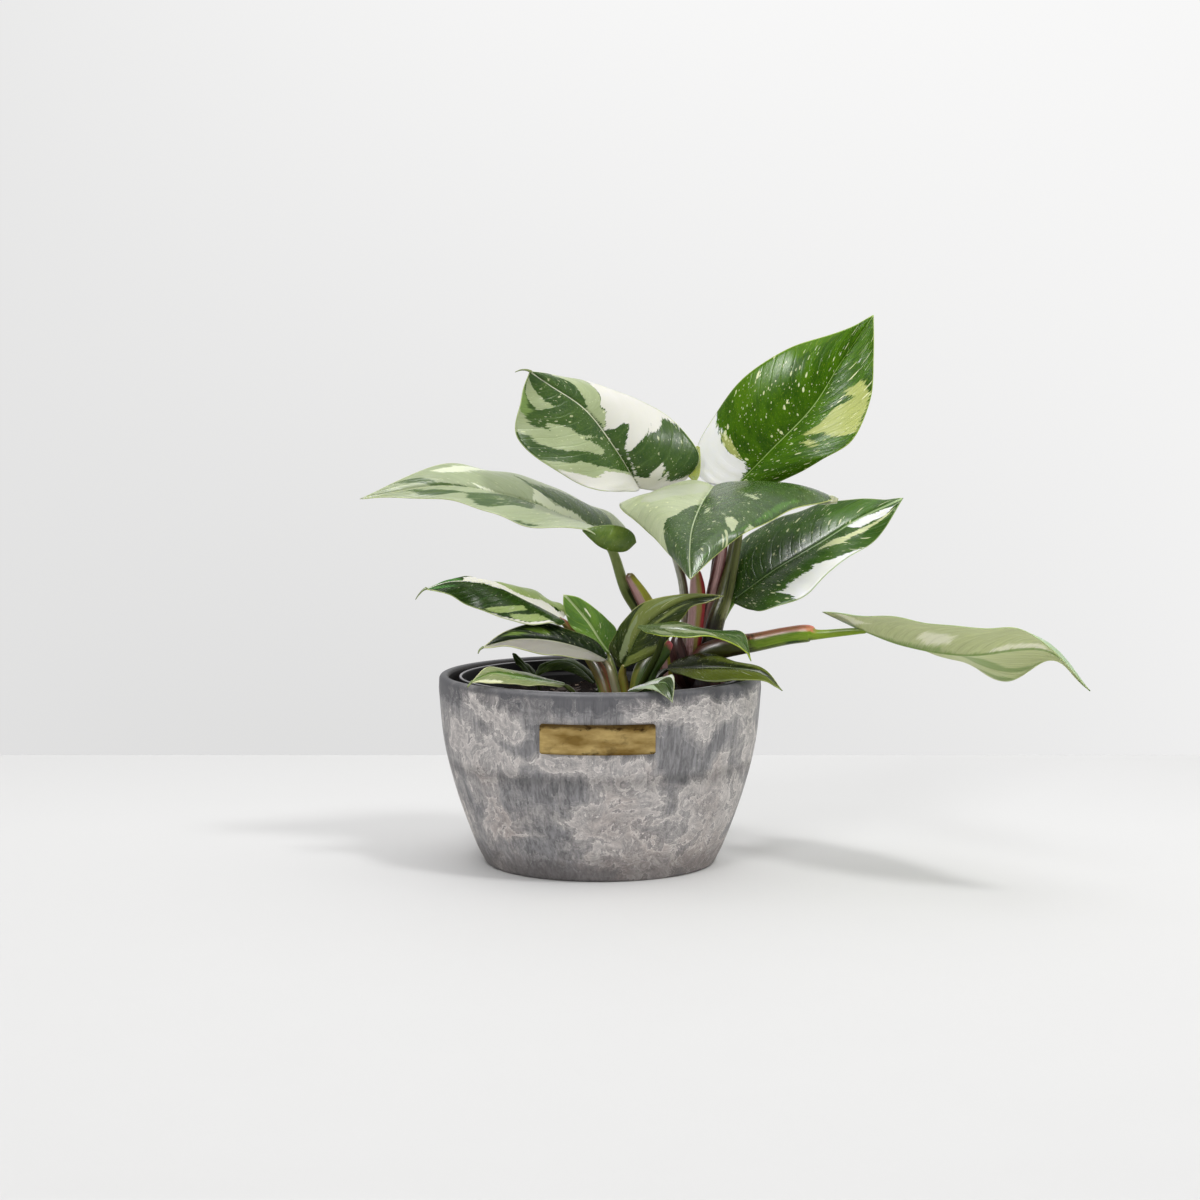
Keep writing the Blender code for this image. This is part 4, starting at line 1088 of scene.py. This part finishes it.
# %% Finish of each blade
# The codes are the ground green, the mid green, the sage, the cream, the midrib and the edge.
LOOKS = {
    "top_right": ("3a6602 527c08 b6be70 ffffff b4cf7c a9bd62", dict(
        flecks=0.8, mottle=0.9, warm="9fb030", fray=1.7, gloss=0.12)),
    "top_left": ("41602c 7f9a55 a9b58a dcdad4 e9ead2 c2cf98", dict(flecks=0.35)),
    "centre": ("38591f 4d7826 b7c199 b6bca4 b9c79a ccd67e", dict(flecks=0.4, gloss=0.45)),
    "right": ("3e661f 4e7626 d4daa9 efefef b4cc94 a9bd7c", dict(flecks=0.75, rib_width=0.6)),
    "long_left": ("547042 5d8a3a abb691 e1e6cd dde3c6 c8d2a0", dict(flecks=0.5)),
    "far_right": ("3f6a40 6a9850 a9c198 eef0e6 5c8a4c b9c790", dict(flecks=0.3)),
    "low_left": ("26400f 4b7c38 96a866 e2dfd6 e6ead2 b9c788", dict(flecks=0.15, fray=0.6, gloss=0.1)),
    "white_edged": ("14240a 66822c b9c2a6 938f87 e0e2c4 c2c68e", dict(flecks=0.15, fray=0.5, gloss=0.12)),
    "young_upright": ("68943e 5c8a34 b9cc80 eef0d8 ccd8a6 a6c060", dict(flecks=0.5, rib_width=0.9, fray=0.6)),
    "arching": ("33441a 8a964e 9aa878 e6e6cc 6f8248 b3b766", dict(flecks=0.3, fray=0.9, mottle=0.8)),
    "front_right": ("46662c 60763c a5b184 e3e2c0 6f8a48 b4c83c", dict(flecks=0.4, fray=0.9)),
    "rim_right": ("283509 677424 a3b07c e3e4cc 7f9454 9aa562", dict(flecks=0.2, fray=0.9, mottle=0.8, gloss=0.14)),
    "rim_front": ("42582c 5c8a44 b3c4a4 d9dbd6 9ab27c b6c090", dict(flecks=0.15, fray=0.5)),
    "rim_left": ("5c7e3c 7a9a4c 8c9764 e0e2bc a9c07c d3d6a2", dict(flecks=0.3, fray=0.7)),
    "back_sprout": ("2a3a16 3f6a34 7a9070 c3ccb0 3f5228 44542c", dict(flecks=0.1, gloss=0.05, rough=0.4)),
    "soil_back": ("3a4e1e 3f6a34 7f9a78 c9d0b8 4a6434 52643a", dict(flecks=0.2, gloss=0.05, rough=0.4)),
}
# The codes are the ground, the sage, the cream and the midrib of the underside.
UNDER_LOOK = "6f8a62 a3b593 dfe0d2 9ab07e"
UNDERS = {
    "top_right": "8f9f86 b9c2a8 dcdcd0 a9b890", "far_right": "9db074 d2d8a6 f0f0dc 87a05a",
    "long_left": "66825a a9b99c dfe0d6 9ab07e", "soil_back": "7f8c80 a3ae9c c9cec0 8c9a80",
}
LEAF_SLOTS = dict.fromkeys(("long_left", "far_right", "rim_front", "rim_left"), "leaf_pale")
LEAF_SLOTS |= dict.fromkeys(("top_right", "young_upright"), "leaf_bright")
SMALL_LEAVES = ("white_edged", "young_upright", "front_right", "rim_right", "rim_front", "rim_left",
                "back_sprout", "soil_back")
SMALL_SIZE = dict(rows=56, columns=40, groove=0.25, pleat=0.07, pitch=5.5, wave=0.3, thick=0.5)

blades = {}
for number, (name, (_, shape)) in enumerate(BLADES.items()):
    colours, own = LOOKS[name]
    finishes = (paint_leaf(f"skin_{name}", colours, number * 7.3, **own),
                paint_under(f"underside_{name}", UNDERS.get(name, UNDER_LOOK), number * 5.1))
    shape = shape | SMALL_SIZE if name in SMALL_LEAVES else shape
    blade = make_blade(f"blade_{name}", blade_lines(name), PATCHES.get(name, ""), finishes, **shape)
    blades[name] = deliver(blade, LEAF_SLOTS.get(name, "leaf_dark"), f"leaf_{name}")
print("blades", len(blades), "faces", sum(len(b.data.polygons) for b in blades.values()))

# %% [markdown]
# ## Leaf stalks and sheaths
#
# A stalk is a fleshy rod, smooth and a little glossy, green with pink, purple or brown stripes that
# run along it. Young leaves come out of rolled sheaths, which end in a soft point. A curve with a
# round bevel gives a rod, but a grid that is wrapped round the route can also carry the place round
# the rod, so each side can have its own colour, and it can have keels.

# %% Routes of the stalks, each point as x y z and the radius there
STALKS = {
    "petiole_top_right": (
        "60.8 -4 118.3 5.2, 64.8 -2 136 5, 70 2 151 4.5, 75.8 8 178 3.5, 78.3 13 196 2.8, 77 17 205 2.4"),
    "petiole_top_left": "49 8 118.3 2.8, 47.5 10 148 2.6, 44.5 11 164 2.4, 37 10 186 2.2, 28 9 202 2",
    "petiole_centre": "57 5 118.3 2.7, 63 7 150 2.5, 68 1 176 2.4, 68 -2 195 2.2, 64.5 -3.5 206 2",
    "petiole_right": "64 6.5 118.3 2.4, 65.3 8 128 2.4, 69.5 6.5 138 2.3, 73.5 3 145 2, 77 -.8 148.8 1.2",
    "petiole_far_right": (
        "57 -10 117 5.4, 67 -10 121 6, 77 -9 122.8 5.7, 87 -7.5 124.2 5.3, 103.6 -11 128 5, 115.2 -14.5 129.8 4.8,"
        "121 -16.5 129.4 2.7, 140 -21 131.6 1.9"),
    "petiole_long_left": (
        "40 13 91.3 3.4, 36.5 12 112 3.4, 29 11 126 3.2, 20.8 9.5 141 3.1, 14 7.5 153 3, 7 5 174 2.5"),
    "petiole_low_left": "4 -38 98.3 3.2, 0 -33 110 3.1, -6 -28 119 2.6, -13 -25 130 2, -18.5 -27 136 1.6",
    "petiole_white_edged": "9.5 -45 98.3 2.6, 6.5 -43 110 2.2, 4.5 -41 115 1.7",
    "petiole_young_upright": "9.5 -33.5 98.3 2, 7.5 -27 110 1.8, 5.6 -22.5 116 1.5",
    "petiole_arching": "14 -38.5 98.3 2.2, 12.8 -38 106 2, 12.2 -37.8 110 1.8",
    "petiole_front_right": "19.5 -47 98.3 1.8, 25 -52 111 1.7, 31 -60 124 1.6, 34 -66.5 134.5 1.4",
    "petiole_rim_right": "27 -27 91.3 1.8, 30 -27 104 1.7, 34.5 -25.5 109.5 1.5",
    "petiole_rim_front": "16 -53 91.3 1.6, 14 -60 98.5 1.5, 14.2 -63.5 101.5 1.4",
    "petiole_rim_left": "-12 -38 91.3 1.6, -14 -40 99 1.5, -17 -43.5 103 1.4",
    "petiole_back_sprout": "-34 13 91.3 1, -34.5 11.8 96 1, -35.3 10.7 100 .9",
    "petiole_soil_back": "0 3 91.3 1.5, -1 2 94 1.5, -1.8 1.2 97 1.4",
    "sheath_main": "51.5 -6 118.3 3.4, 53 -6.5 135 3.6, 54 -6 152 3.6, 53 -6 165 2",
    "sheath_left": "38 2 91.3 3, 37.5 2 112 3.1, 31 3 134 3.2, 24.5 2 147 3.3, 15.4 1 162 1.8",
    "sheath_front": "22 -40.5 98.3 4.4, 25 -38 112 4.4, 34 -34 122 3.2, 39 -32 127 1.2",
    "spent_stalk": "57 12 118.3 1.5, 62 13 150 1.4, 65 13 173 1.3, 67 12 188 .9",
}

# %% Skins wrapped round the routes
KEELS = {"sheath_left": (2, 0.14), "sheath_front": (2, 0.12), "sheath_main": (3, 0.10), "petiole_top_right": (3, 0.05)}
SINK = 7.0  # how far a stalk starts below its foot, so that it grows out of the crown
BACK_WAY, RIGHT_WAY = (0.0, 1.0, 0.12), (1.0, 0.0, 0.8)  # they tell the sides of a rod apart
LEAST_RADIUS = 0.3


def wrapped(name, route, around=32, rows=72, keel=(0, 0.0)):
    """A closed rod on a route. It carries how far along, to the right and to the front a point is."""
    rod, x, y = grid(name, around, rows)
    s, angle = (y + 1) / 2, x * math.pi
    drawn = smooth_curve(route, SAMPLES)
    line, thick = drawn[:, :3], drawn[:, 3]
    length = length_of(line)
    centre, along = sampled(s, line, unit_vectors(np.gradient(line, axis=0)))
    radius = np.interp(s, SAMPLES, thick)
    for place in (s * length, (1 - s) * length):  # both ends are rounded off
        near = np.clip(place / np.maximum(radius, LEAST_RADIUS), 0, 1)
        radius = radius * np.sqrt(1 - (1 - near) ** 2)
    across = unit_vectors(np.cross(along, BACK_WAY))
    across *= np.sign(across.mean(axis=0) @ RIGHT_WAY)
    front = np.cross(across, along)
    front *= np.sign(-front[:, 1].mean())
    c, d = np.cos(angle), np.sin(angle)
    count, deep = keel
    swell = 1 + deep * (np.abs(np.cos(angle * count / 2)) - 0.6) * 1.6 if count else 1.0
    put_points(rod, centre + (across * c[:, None] + front * d[:, None]) * (radius * swell)[:, None])
    carry(rod, "lie", s * length, c, d)
    clean(rod, gap=1e-6)
    return smooth(rod)


def paint_stalk(name, colours, foot=None, head=None, foot_end=10.0, head_start=1e3, stripe="3a2420",
                stripes=0.4, seed=0.0, cuts=(-0.35, 0.35), soft=0.35):
    """Three colours from the left side to the right one, with a foot, a head and thin stripes. On a
    stalk that lies down, the right side is its top."""
    left, middle, right = colours.split()
    paint = Paint(name, Specular_IOR_Level=0.25)
    along, side, front = paint.read("lie")
    fibre = paint.noise((along * 0.06, side * 3.2 + seed, front * 3.2), detail=4, rough=0.6) - 0.5
    blot = paint.noise((along * 0.35, side * 1.6 + seed, front * 1.6), detail=4, rough=0.6) - 0.5
    where = side + fibre * 0.6
    skin = paint.mix(paint.edge(where - cuts[0], soft), left, middle)
    skin = paint.mix(paint.edge(where - cuts[1], soft), skin, right)
    skin = paint.mix(paint.edge(0.10 - abs(fibre - 0.06), 0.05) * stripes, skin, stripe)
    if foot:
        skin = paint.mix(paint.edge(foot_end - along + blot * 16 + fibre * 20, 9.0) * 0.85, skin, foot)
    if head:
        skin = paint.mix(paint.edge(along - head_start + blot * 6, 5.0), skin, head)
    skin = paint.mix(paint.edge(blot - 0.12, 0.2) * 0.25, skin, shade(middle, 0.5))
    return paint.skin(skin, 0.33 + blot * 0.25, fibre + blot * 0.5, relief=0.0004, strength=0.5)


# The codes are the left, middle and right of each stalk.
STALK_LOOKS = {
    "petiole_top_right": ("4c3a26 363c14 9a9c70", dict(foot="20100e", foot_end=34, stripe="858a48",
        stripes=0.5, cuts=(-0.55, 0.4))),
    "petiole_top_left": ("e2e2d8 8c8c6c 5c4434", dict(foot="8f7068", foot_end=30, stripes=0.25,
        cuts=(-0.1, 0.4))),
    "petiole_centre": ("4a1f1c e8bcbc 7a4644", dict(foot="3c1a1a", foot_end=15, stripe="6a2c2c", stripes=0.35,
        cuts=(-0.45, 0.6))),
    "petiole_right": ("5c7a2c 4f7a24 7a9a3c", dict(foot="4a3a24", foot_end=6, stripes=0.1)),
    # The far right stalk lies down; the dark green on its underside is painted shade.
    "petiole_far_right": ("243a0a 6f9418 e8786c", dict(foot="2a140e", foot_end=42, head="86a026",
        head_start=76, stripe="a0b040", stripes=0.3, cuts=(-0.5, 0.55), soft=0.22)),
    "petiole_long_left": ("a0a872 6f8040 2c3c14", dict(foot="2c2a14", foot_end=44, head="8c9a58",
        head_start=78, stripes=0.2, cuts=(-0.6, 0.25))),
    "petiole_low_left": ("7a923e 6e7e36 94603e", dict(foot="8f6a5c", foot_end=8, stripe="9a5a44", stripes=0.5)),
    "petiole_white_edged": ("9a9a78 8f9070 6f7a48", dict(stripe="8a6a54", stripes=0.4)),
    "petiole_young_upright": ("8fa05c 9aa040 76863c", dict(stripes=0.2)),
    "petiole_arching": ("8a9a34 7f8f2c 4c5e24", dict(stripe="9a5a3c", stripes=0.4)),
    "petiole_front_right": ("3c4c14 2c3c10 22300c", dict(stripes=0.2)),
    "petiole_rim_right": ("3c4a20 303c18 283414", dict(stripes=0.3)),
    "petiole_rim_front": ("7a8a5a 6a7a4a 5c6a3c", dict(stripes=0.2)),
    "petiole_rim_left": ("8a9a64 76864c 66763c", dict(stripes=0.2)),
    "petiole_back_sprout": ("4a5a34 3c4a28 344020", dict()),
    "petiole_soil_back": ("4a5a34 3c4a28 344020", dict()),
    "sheath_main": ("d8aeb0 a09a4c a02a30", dict(foot="4a2220", foot_end=17, head="a49a50", head_start=56,
        stripe="9c4a48", stripes=0.2, cuts=(-0.05, 0.55), soft=0.25)),
    "sheath_left": ("6c4a36 cfa6a4 a2a832", dict(foot="6a4a44", foot_end=10, head="7c5a34", head_start=81,
        stripe="8c3a38", stripes=0.2, cuts=(-0.75, 0.1), soft=0.25)),
    "sheath_front": ("8c8a3a 48621e 2c3e14", dict(foot="4a4a1c", foot_end=8, head="cc5c66", head_start=37,
        stripe="4c701c", stripes=0.3, cuts=(-0.6, 0.3))),
    "spent_stalk": ("4a2f24 3a241c 4a3024", dict(foot="3a2420", stripes=0.5)),
}
WIDER = {"petiole_centre": 1.35, "sheath_main": 1.25, "sheath_left": 1.25, "petiole_long_left": 1.05,
         "sheath_front": 1.35, "petiole_front_right": 1.15, "petiole_low_left": 1.3, "petiole_arching": 1.25}
REACH_IN = {"arching": 3, "far_right": 5, "low_left": 2, "white_edged": 3, "young_upright": 2, "long_left": 4,
            "rim_left": 1, "rim_right": 1}
STALK_SLOTS = dict.fromkeys(("petiole_centre", "sheath_main", "sheath_left"), "stalk_pink")
STALK_SLOTS["spent_stalk"] = "stalk_brown"

stalks = {}
for number, (name, text) in enumerate(STALKS.items()):
    route = np.array(read_points(text))
    route[:, 3] *= WIDER.get(name, 1.0)
    route = np.vstack([route[0] - (0, 0, SINK, 0), route])
    leaf = name.removeprefix("petiole_")
    if leaf in REACH_IN:  # the stalk runs on into its blade
        start, ahead = np.array(blade_lines(leaf)[0][:2])
        way = (ahead - start) / np.linalg.norm(ahead - start)
        route = np.vstack([route, [*(start + way * REACH_IN[leaf]), route[-1, 3] / 2]])
    skin = wrapped(f"{name}_skin", route, keel=KEELS.get(name, (0, 0.0)))
    colours, own = STALK_LOOKS[name]
    finish = paint_stalk(f"{name}_finish", colours, seed=number * 3.7, **own)
    stalks[name] = deliver(skin, STALK_SLOTS.get(name, "stalk_green"), name, finish=finish)
print("stalks", len(stalks))

# %% [markdown]
# ## The crowns
#
# Where the stalks meet, the short stem is brown and knobbly, wrapped in the dry bases of old leaves.
# It could be sculpted, but a ball that is squared off, lobed and ringed by sums is the same each time.

# %% Crowns
CROWNS = {"crown_main": ((56.5, 2.0), (12.6, 12.6), 118.0), "crown_front": ((13.0, -40.0), (14.5, 9.6), 98.0)}
CROWN_SINK, SQUARENESS = 1.5, 0.55
BARE_FOOT = 112  # height above which the main crown turns green


def make_crown(name, centre, radii, top):
    bpy.ops.mesh.primitive_uv_sphere_add(segments=72, ring_count=48, radius=1)
    crown = bpy.context.object
    crown.name = crown.data.name = f"{name}_stem"
    x, y, z = points_of(crown).T
    bottom = SOIL_TOP - CROWN_SINK
    flat = np.sign(z) * np.abs(z) ** SQUARENESS
    angle, round_it = np.arctan2(y, x), np.hypot(x, y)
    spread = np.sqrt(np.clip(1 - np.abs(z) ** 5, 0, 1)) / np.maximum(round_it, 1e-6)
    spread = np.where(round_it < 1e-5, 0, spread)
    lobes = 1 + 0.05 * np.sin(angle * 4 + 0.6) + 0.035 * np.sin(angle * 9 + flat * 3) - 0.10 * np.clip(flat, 0, 1) ** 2
    swell = spread * lobes * (1 + 0.03 * np.sin(flat * 14 + angle))
    put_points(crown, centre[0] + x * radii[0] * swell, centre[1] + y * radii[1] * swell,
               (bottom + top) / 2 + flat * (top - bottom) / 2)
    return smooth(crown)


def paint_crown():
    paint = Paint("crown_finish", Specular_IOR_Level=0.35)
    where = paint.place()
    fibre = paint.noise(where, (0.5, 0.5, 0.07), detail=5, rough=0.65) - 0.5
    blot = paint.noise(where, (0.12, 0.12, 0.12), detail=5, rough=0.65) - 0.5
    skin = paint.mix(paint.edge(fibre, 0.3), "2c1a18", "5c3c36")
    skin = paint.mix(paint.edge(blot - 0.10, 0.1) * 0.7, skin, "a98a84")
    skin = paint.mix(paint.edge(where[2] - BARE_FOOT + blot * 20, 8.0) * 0.6, skin, "66703a")
    return paint.skin(skin, 0.5 + fibre * 0.3, fibre + blot, relief=0.0008, strength=0.8)


crown_finish = paint_crown()
for name, shape in CROWNS.items():
    deliver(make_crown(name, *shape), "stalk_brown", name, finish=crown_finish)
print("crowns", len(CROWNS))

# %% [markdown]
# ## Folds, lobes, drip tips and a husk
#
# A few places turn over: the lobe that hangs at the foot of the long leaf, the rolled sliver beside
# the top leaf's base and the curled edge of the middle leaf. They are too tight for the big grids,
# so each is a small strip between two curves. Some tips end in a thread, and an old husk stands at
# the foot of the main stalks. These could be strips too, but they are round, so they are wrapped rods.

# %% Strips between two curves
def make_strip(name, first, second, bulge, finish, rows=40, columns=16, thick=0.6):
    strip, x, y = grid(name, columns, rows)
    s, v = (y + 1) / 2, (x + 1) / 2
    first, second = read_points(first), read_points(second)
    one, two = smooth_curve(first, s), smooth_curve(second, s)
    width = np.linalg.norm(two - one, axis=1)
    points = one * (1 - v)[:, None] + two * v[:, None]
    points[:, 1] -= bulge * 4 * v * (1 - v) * np.clip(width / width.max(), 0, 1)
    put_points(strip, points)
    length = length_of(smooth_curve(first, np.linspace(0, 1, 50)))
    carry(strip, "lie", s * length, v * width + 3, np.minimum(v, 1 - v) * width)
    carry(strip, "tones", np.full((len(s), 3), -TONE_REACH))
    clean(strip)
    strip.data.materials.append(finish)
    modify(strip, "SOLIDIFY", thickness=thick * MM, offset=0)
    return smooth(strip)


STRIPS = {  # two edges, how far the strip bulges to the front, its slot, its colour codes and its flecks
    "lobe_long_left": (
        "-9.6 -30 188.2, -2.5 -26 189.8, 6.3 -21 190.3, 14.1 -18 188.4, 18.5 -16 184.9, 19.9 -15 180.4",
        "-9.6 -30 187.7, -5.2 -28 183.1, -0.3 -25 178.8, 6.3 -22 176.1, 14.1 -18 175.8, 19.9 -15 180.4",
        3.0, "leaf_dark", "64803a 748e46 84964c a9b478 5f7434 7f9054", 0.2),
    "sliver_top_right": (
        "54.4 20 232.3, 50.3 16 223.5, 49 10 217, 51.7 6 213.3",
        "56.2 20 231.7, 56.6 15 223.4, 55.8 9 216.9, 53.9 5 212.7",
        1.0, "leaf_bright", "8fa042 9fae4e b9c478 dfe2b0 a9b858 c9cf88", 0.2),
    "curl_centre": (
        "101 -14 208.6, 110 -20 207.4, 118 -26 206, 126 -30 207, 130 -31 205.4",
        "101 -16 206.4, 110 -23 205.2, 118 -30 202.4, 125 -33 202.6, 129 -33 203",
        1.0, "leaf_dark", "a4ae92 b4bea2 c6ceb6 e6e8da c6ceb6 d3d9c4", 0.5),
}
NO_RIB = -2.0  # a strip has no midrib

for number, (name, (first, second, bulge, slot, colours, flecks)) in enumerate(STRIPS.items()):
    finish = paint_leaf(f"skin_{name}", colours, 200 + number * 9.1, flecks, rib_width=NO_RIB)
    deliver(make_strip(name, first, second, bulge, finish), slot)
print("strips", len(STRIPS))

# %% Drip tips and the husk
THREADS = {
    "thread_top_left": "-37 -19.5 274 .9, -40 -20.5 275.2 .6, -43.4 -21 275.2 .4, -46.6 -22 274 .2",
    "thread_low_left": "-93.5 -43.6 157.8 .9, -96 -44.4 156.4 .55, -98.4 -45 153.8 .35, -100 -45.6 151.4 .2",
    "thread_white_edged": "-62.6 -53.6 126.8 .8, -64.8 -54.4 125.2 .5, -65.8 -55 123 .25",
    "thread_rim_left": "-68 -67 110.2 .7, -70.2 -69 107.6 .5, -70.8 -69.5 106.6 .3",
}
for name, route in THREADS.items():
    thread = wrapped(name, read_points(route), around=12, rows=20)
    deliver(thread, "leaf_dark", finish=paint_stalk(f"{name}_finish", "7a8f50 8fa062 9aa870"))
husk = wrapped("husk", read_points("50 -6 98 7.5, 45.5 -7 112 6, 43 -7 122 4.4, 43.5 -6.5 130 1.4"))
husk_finish = paint_stalk("husk_finish", "3a1c1a 2c1412 241210", stripe="6a4440", seed=61)
deliver(husk, "stalk_brown", finish=husk_finish)
print("threads", len(THREADS), "husk faces", len(husk.data.polygons))
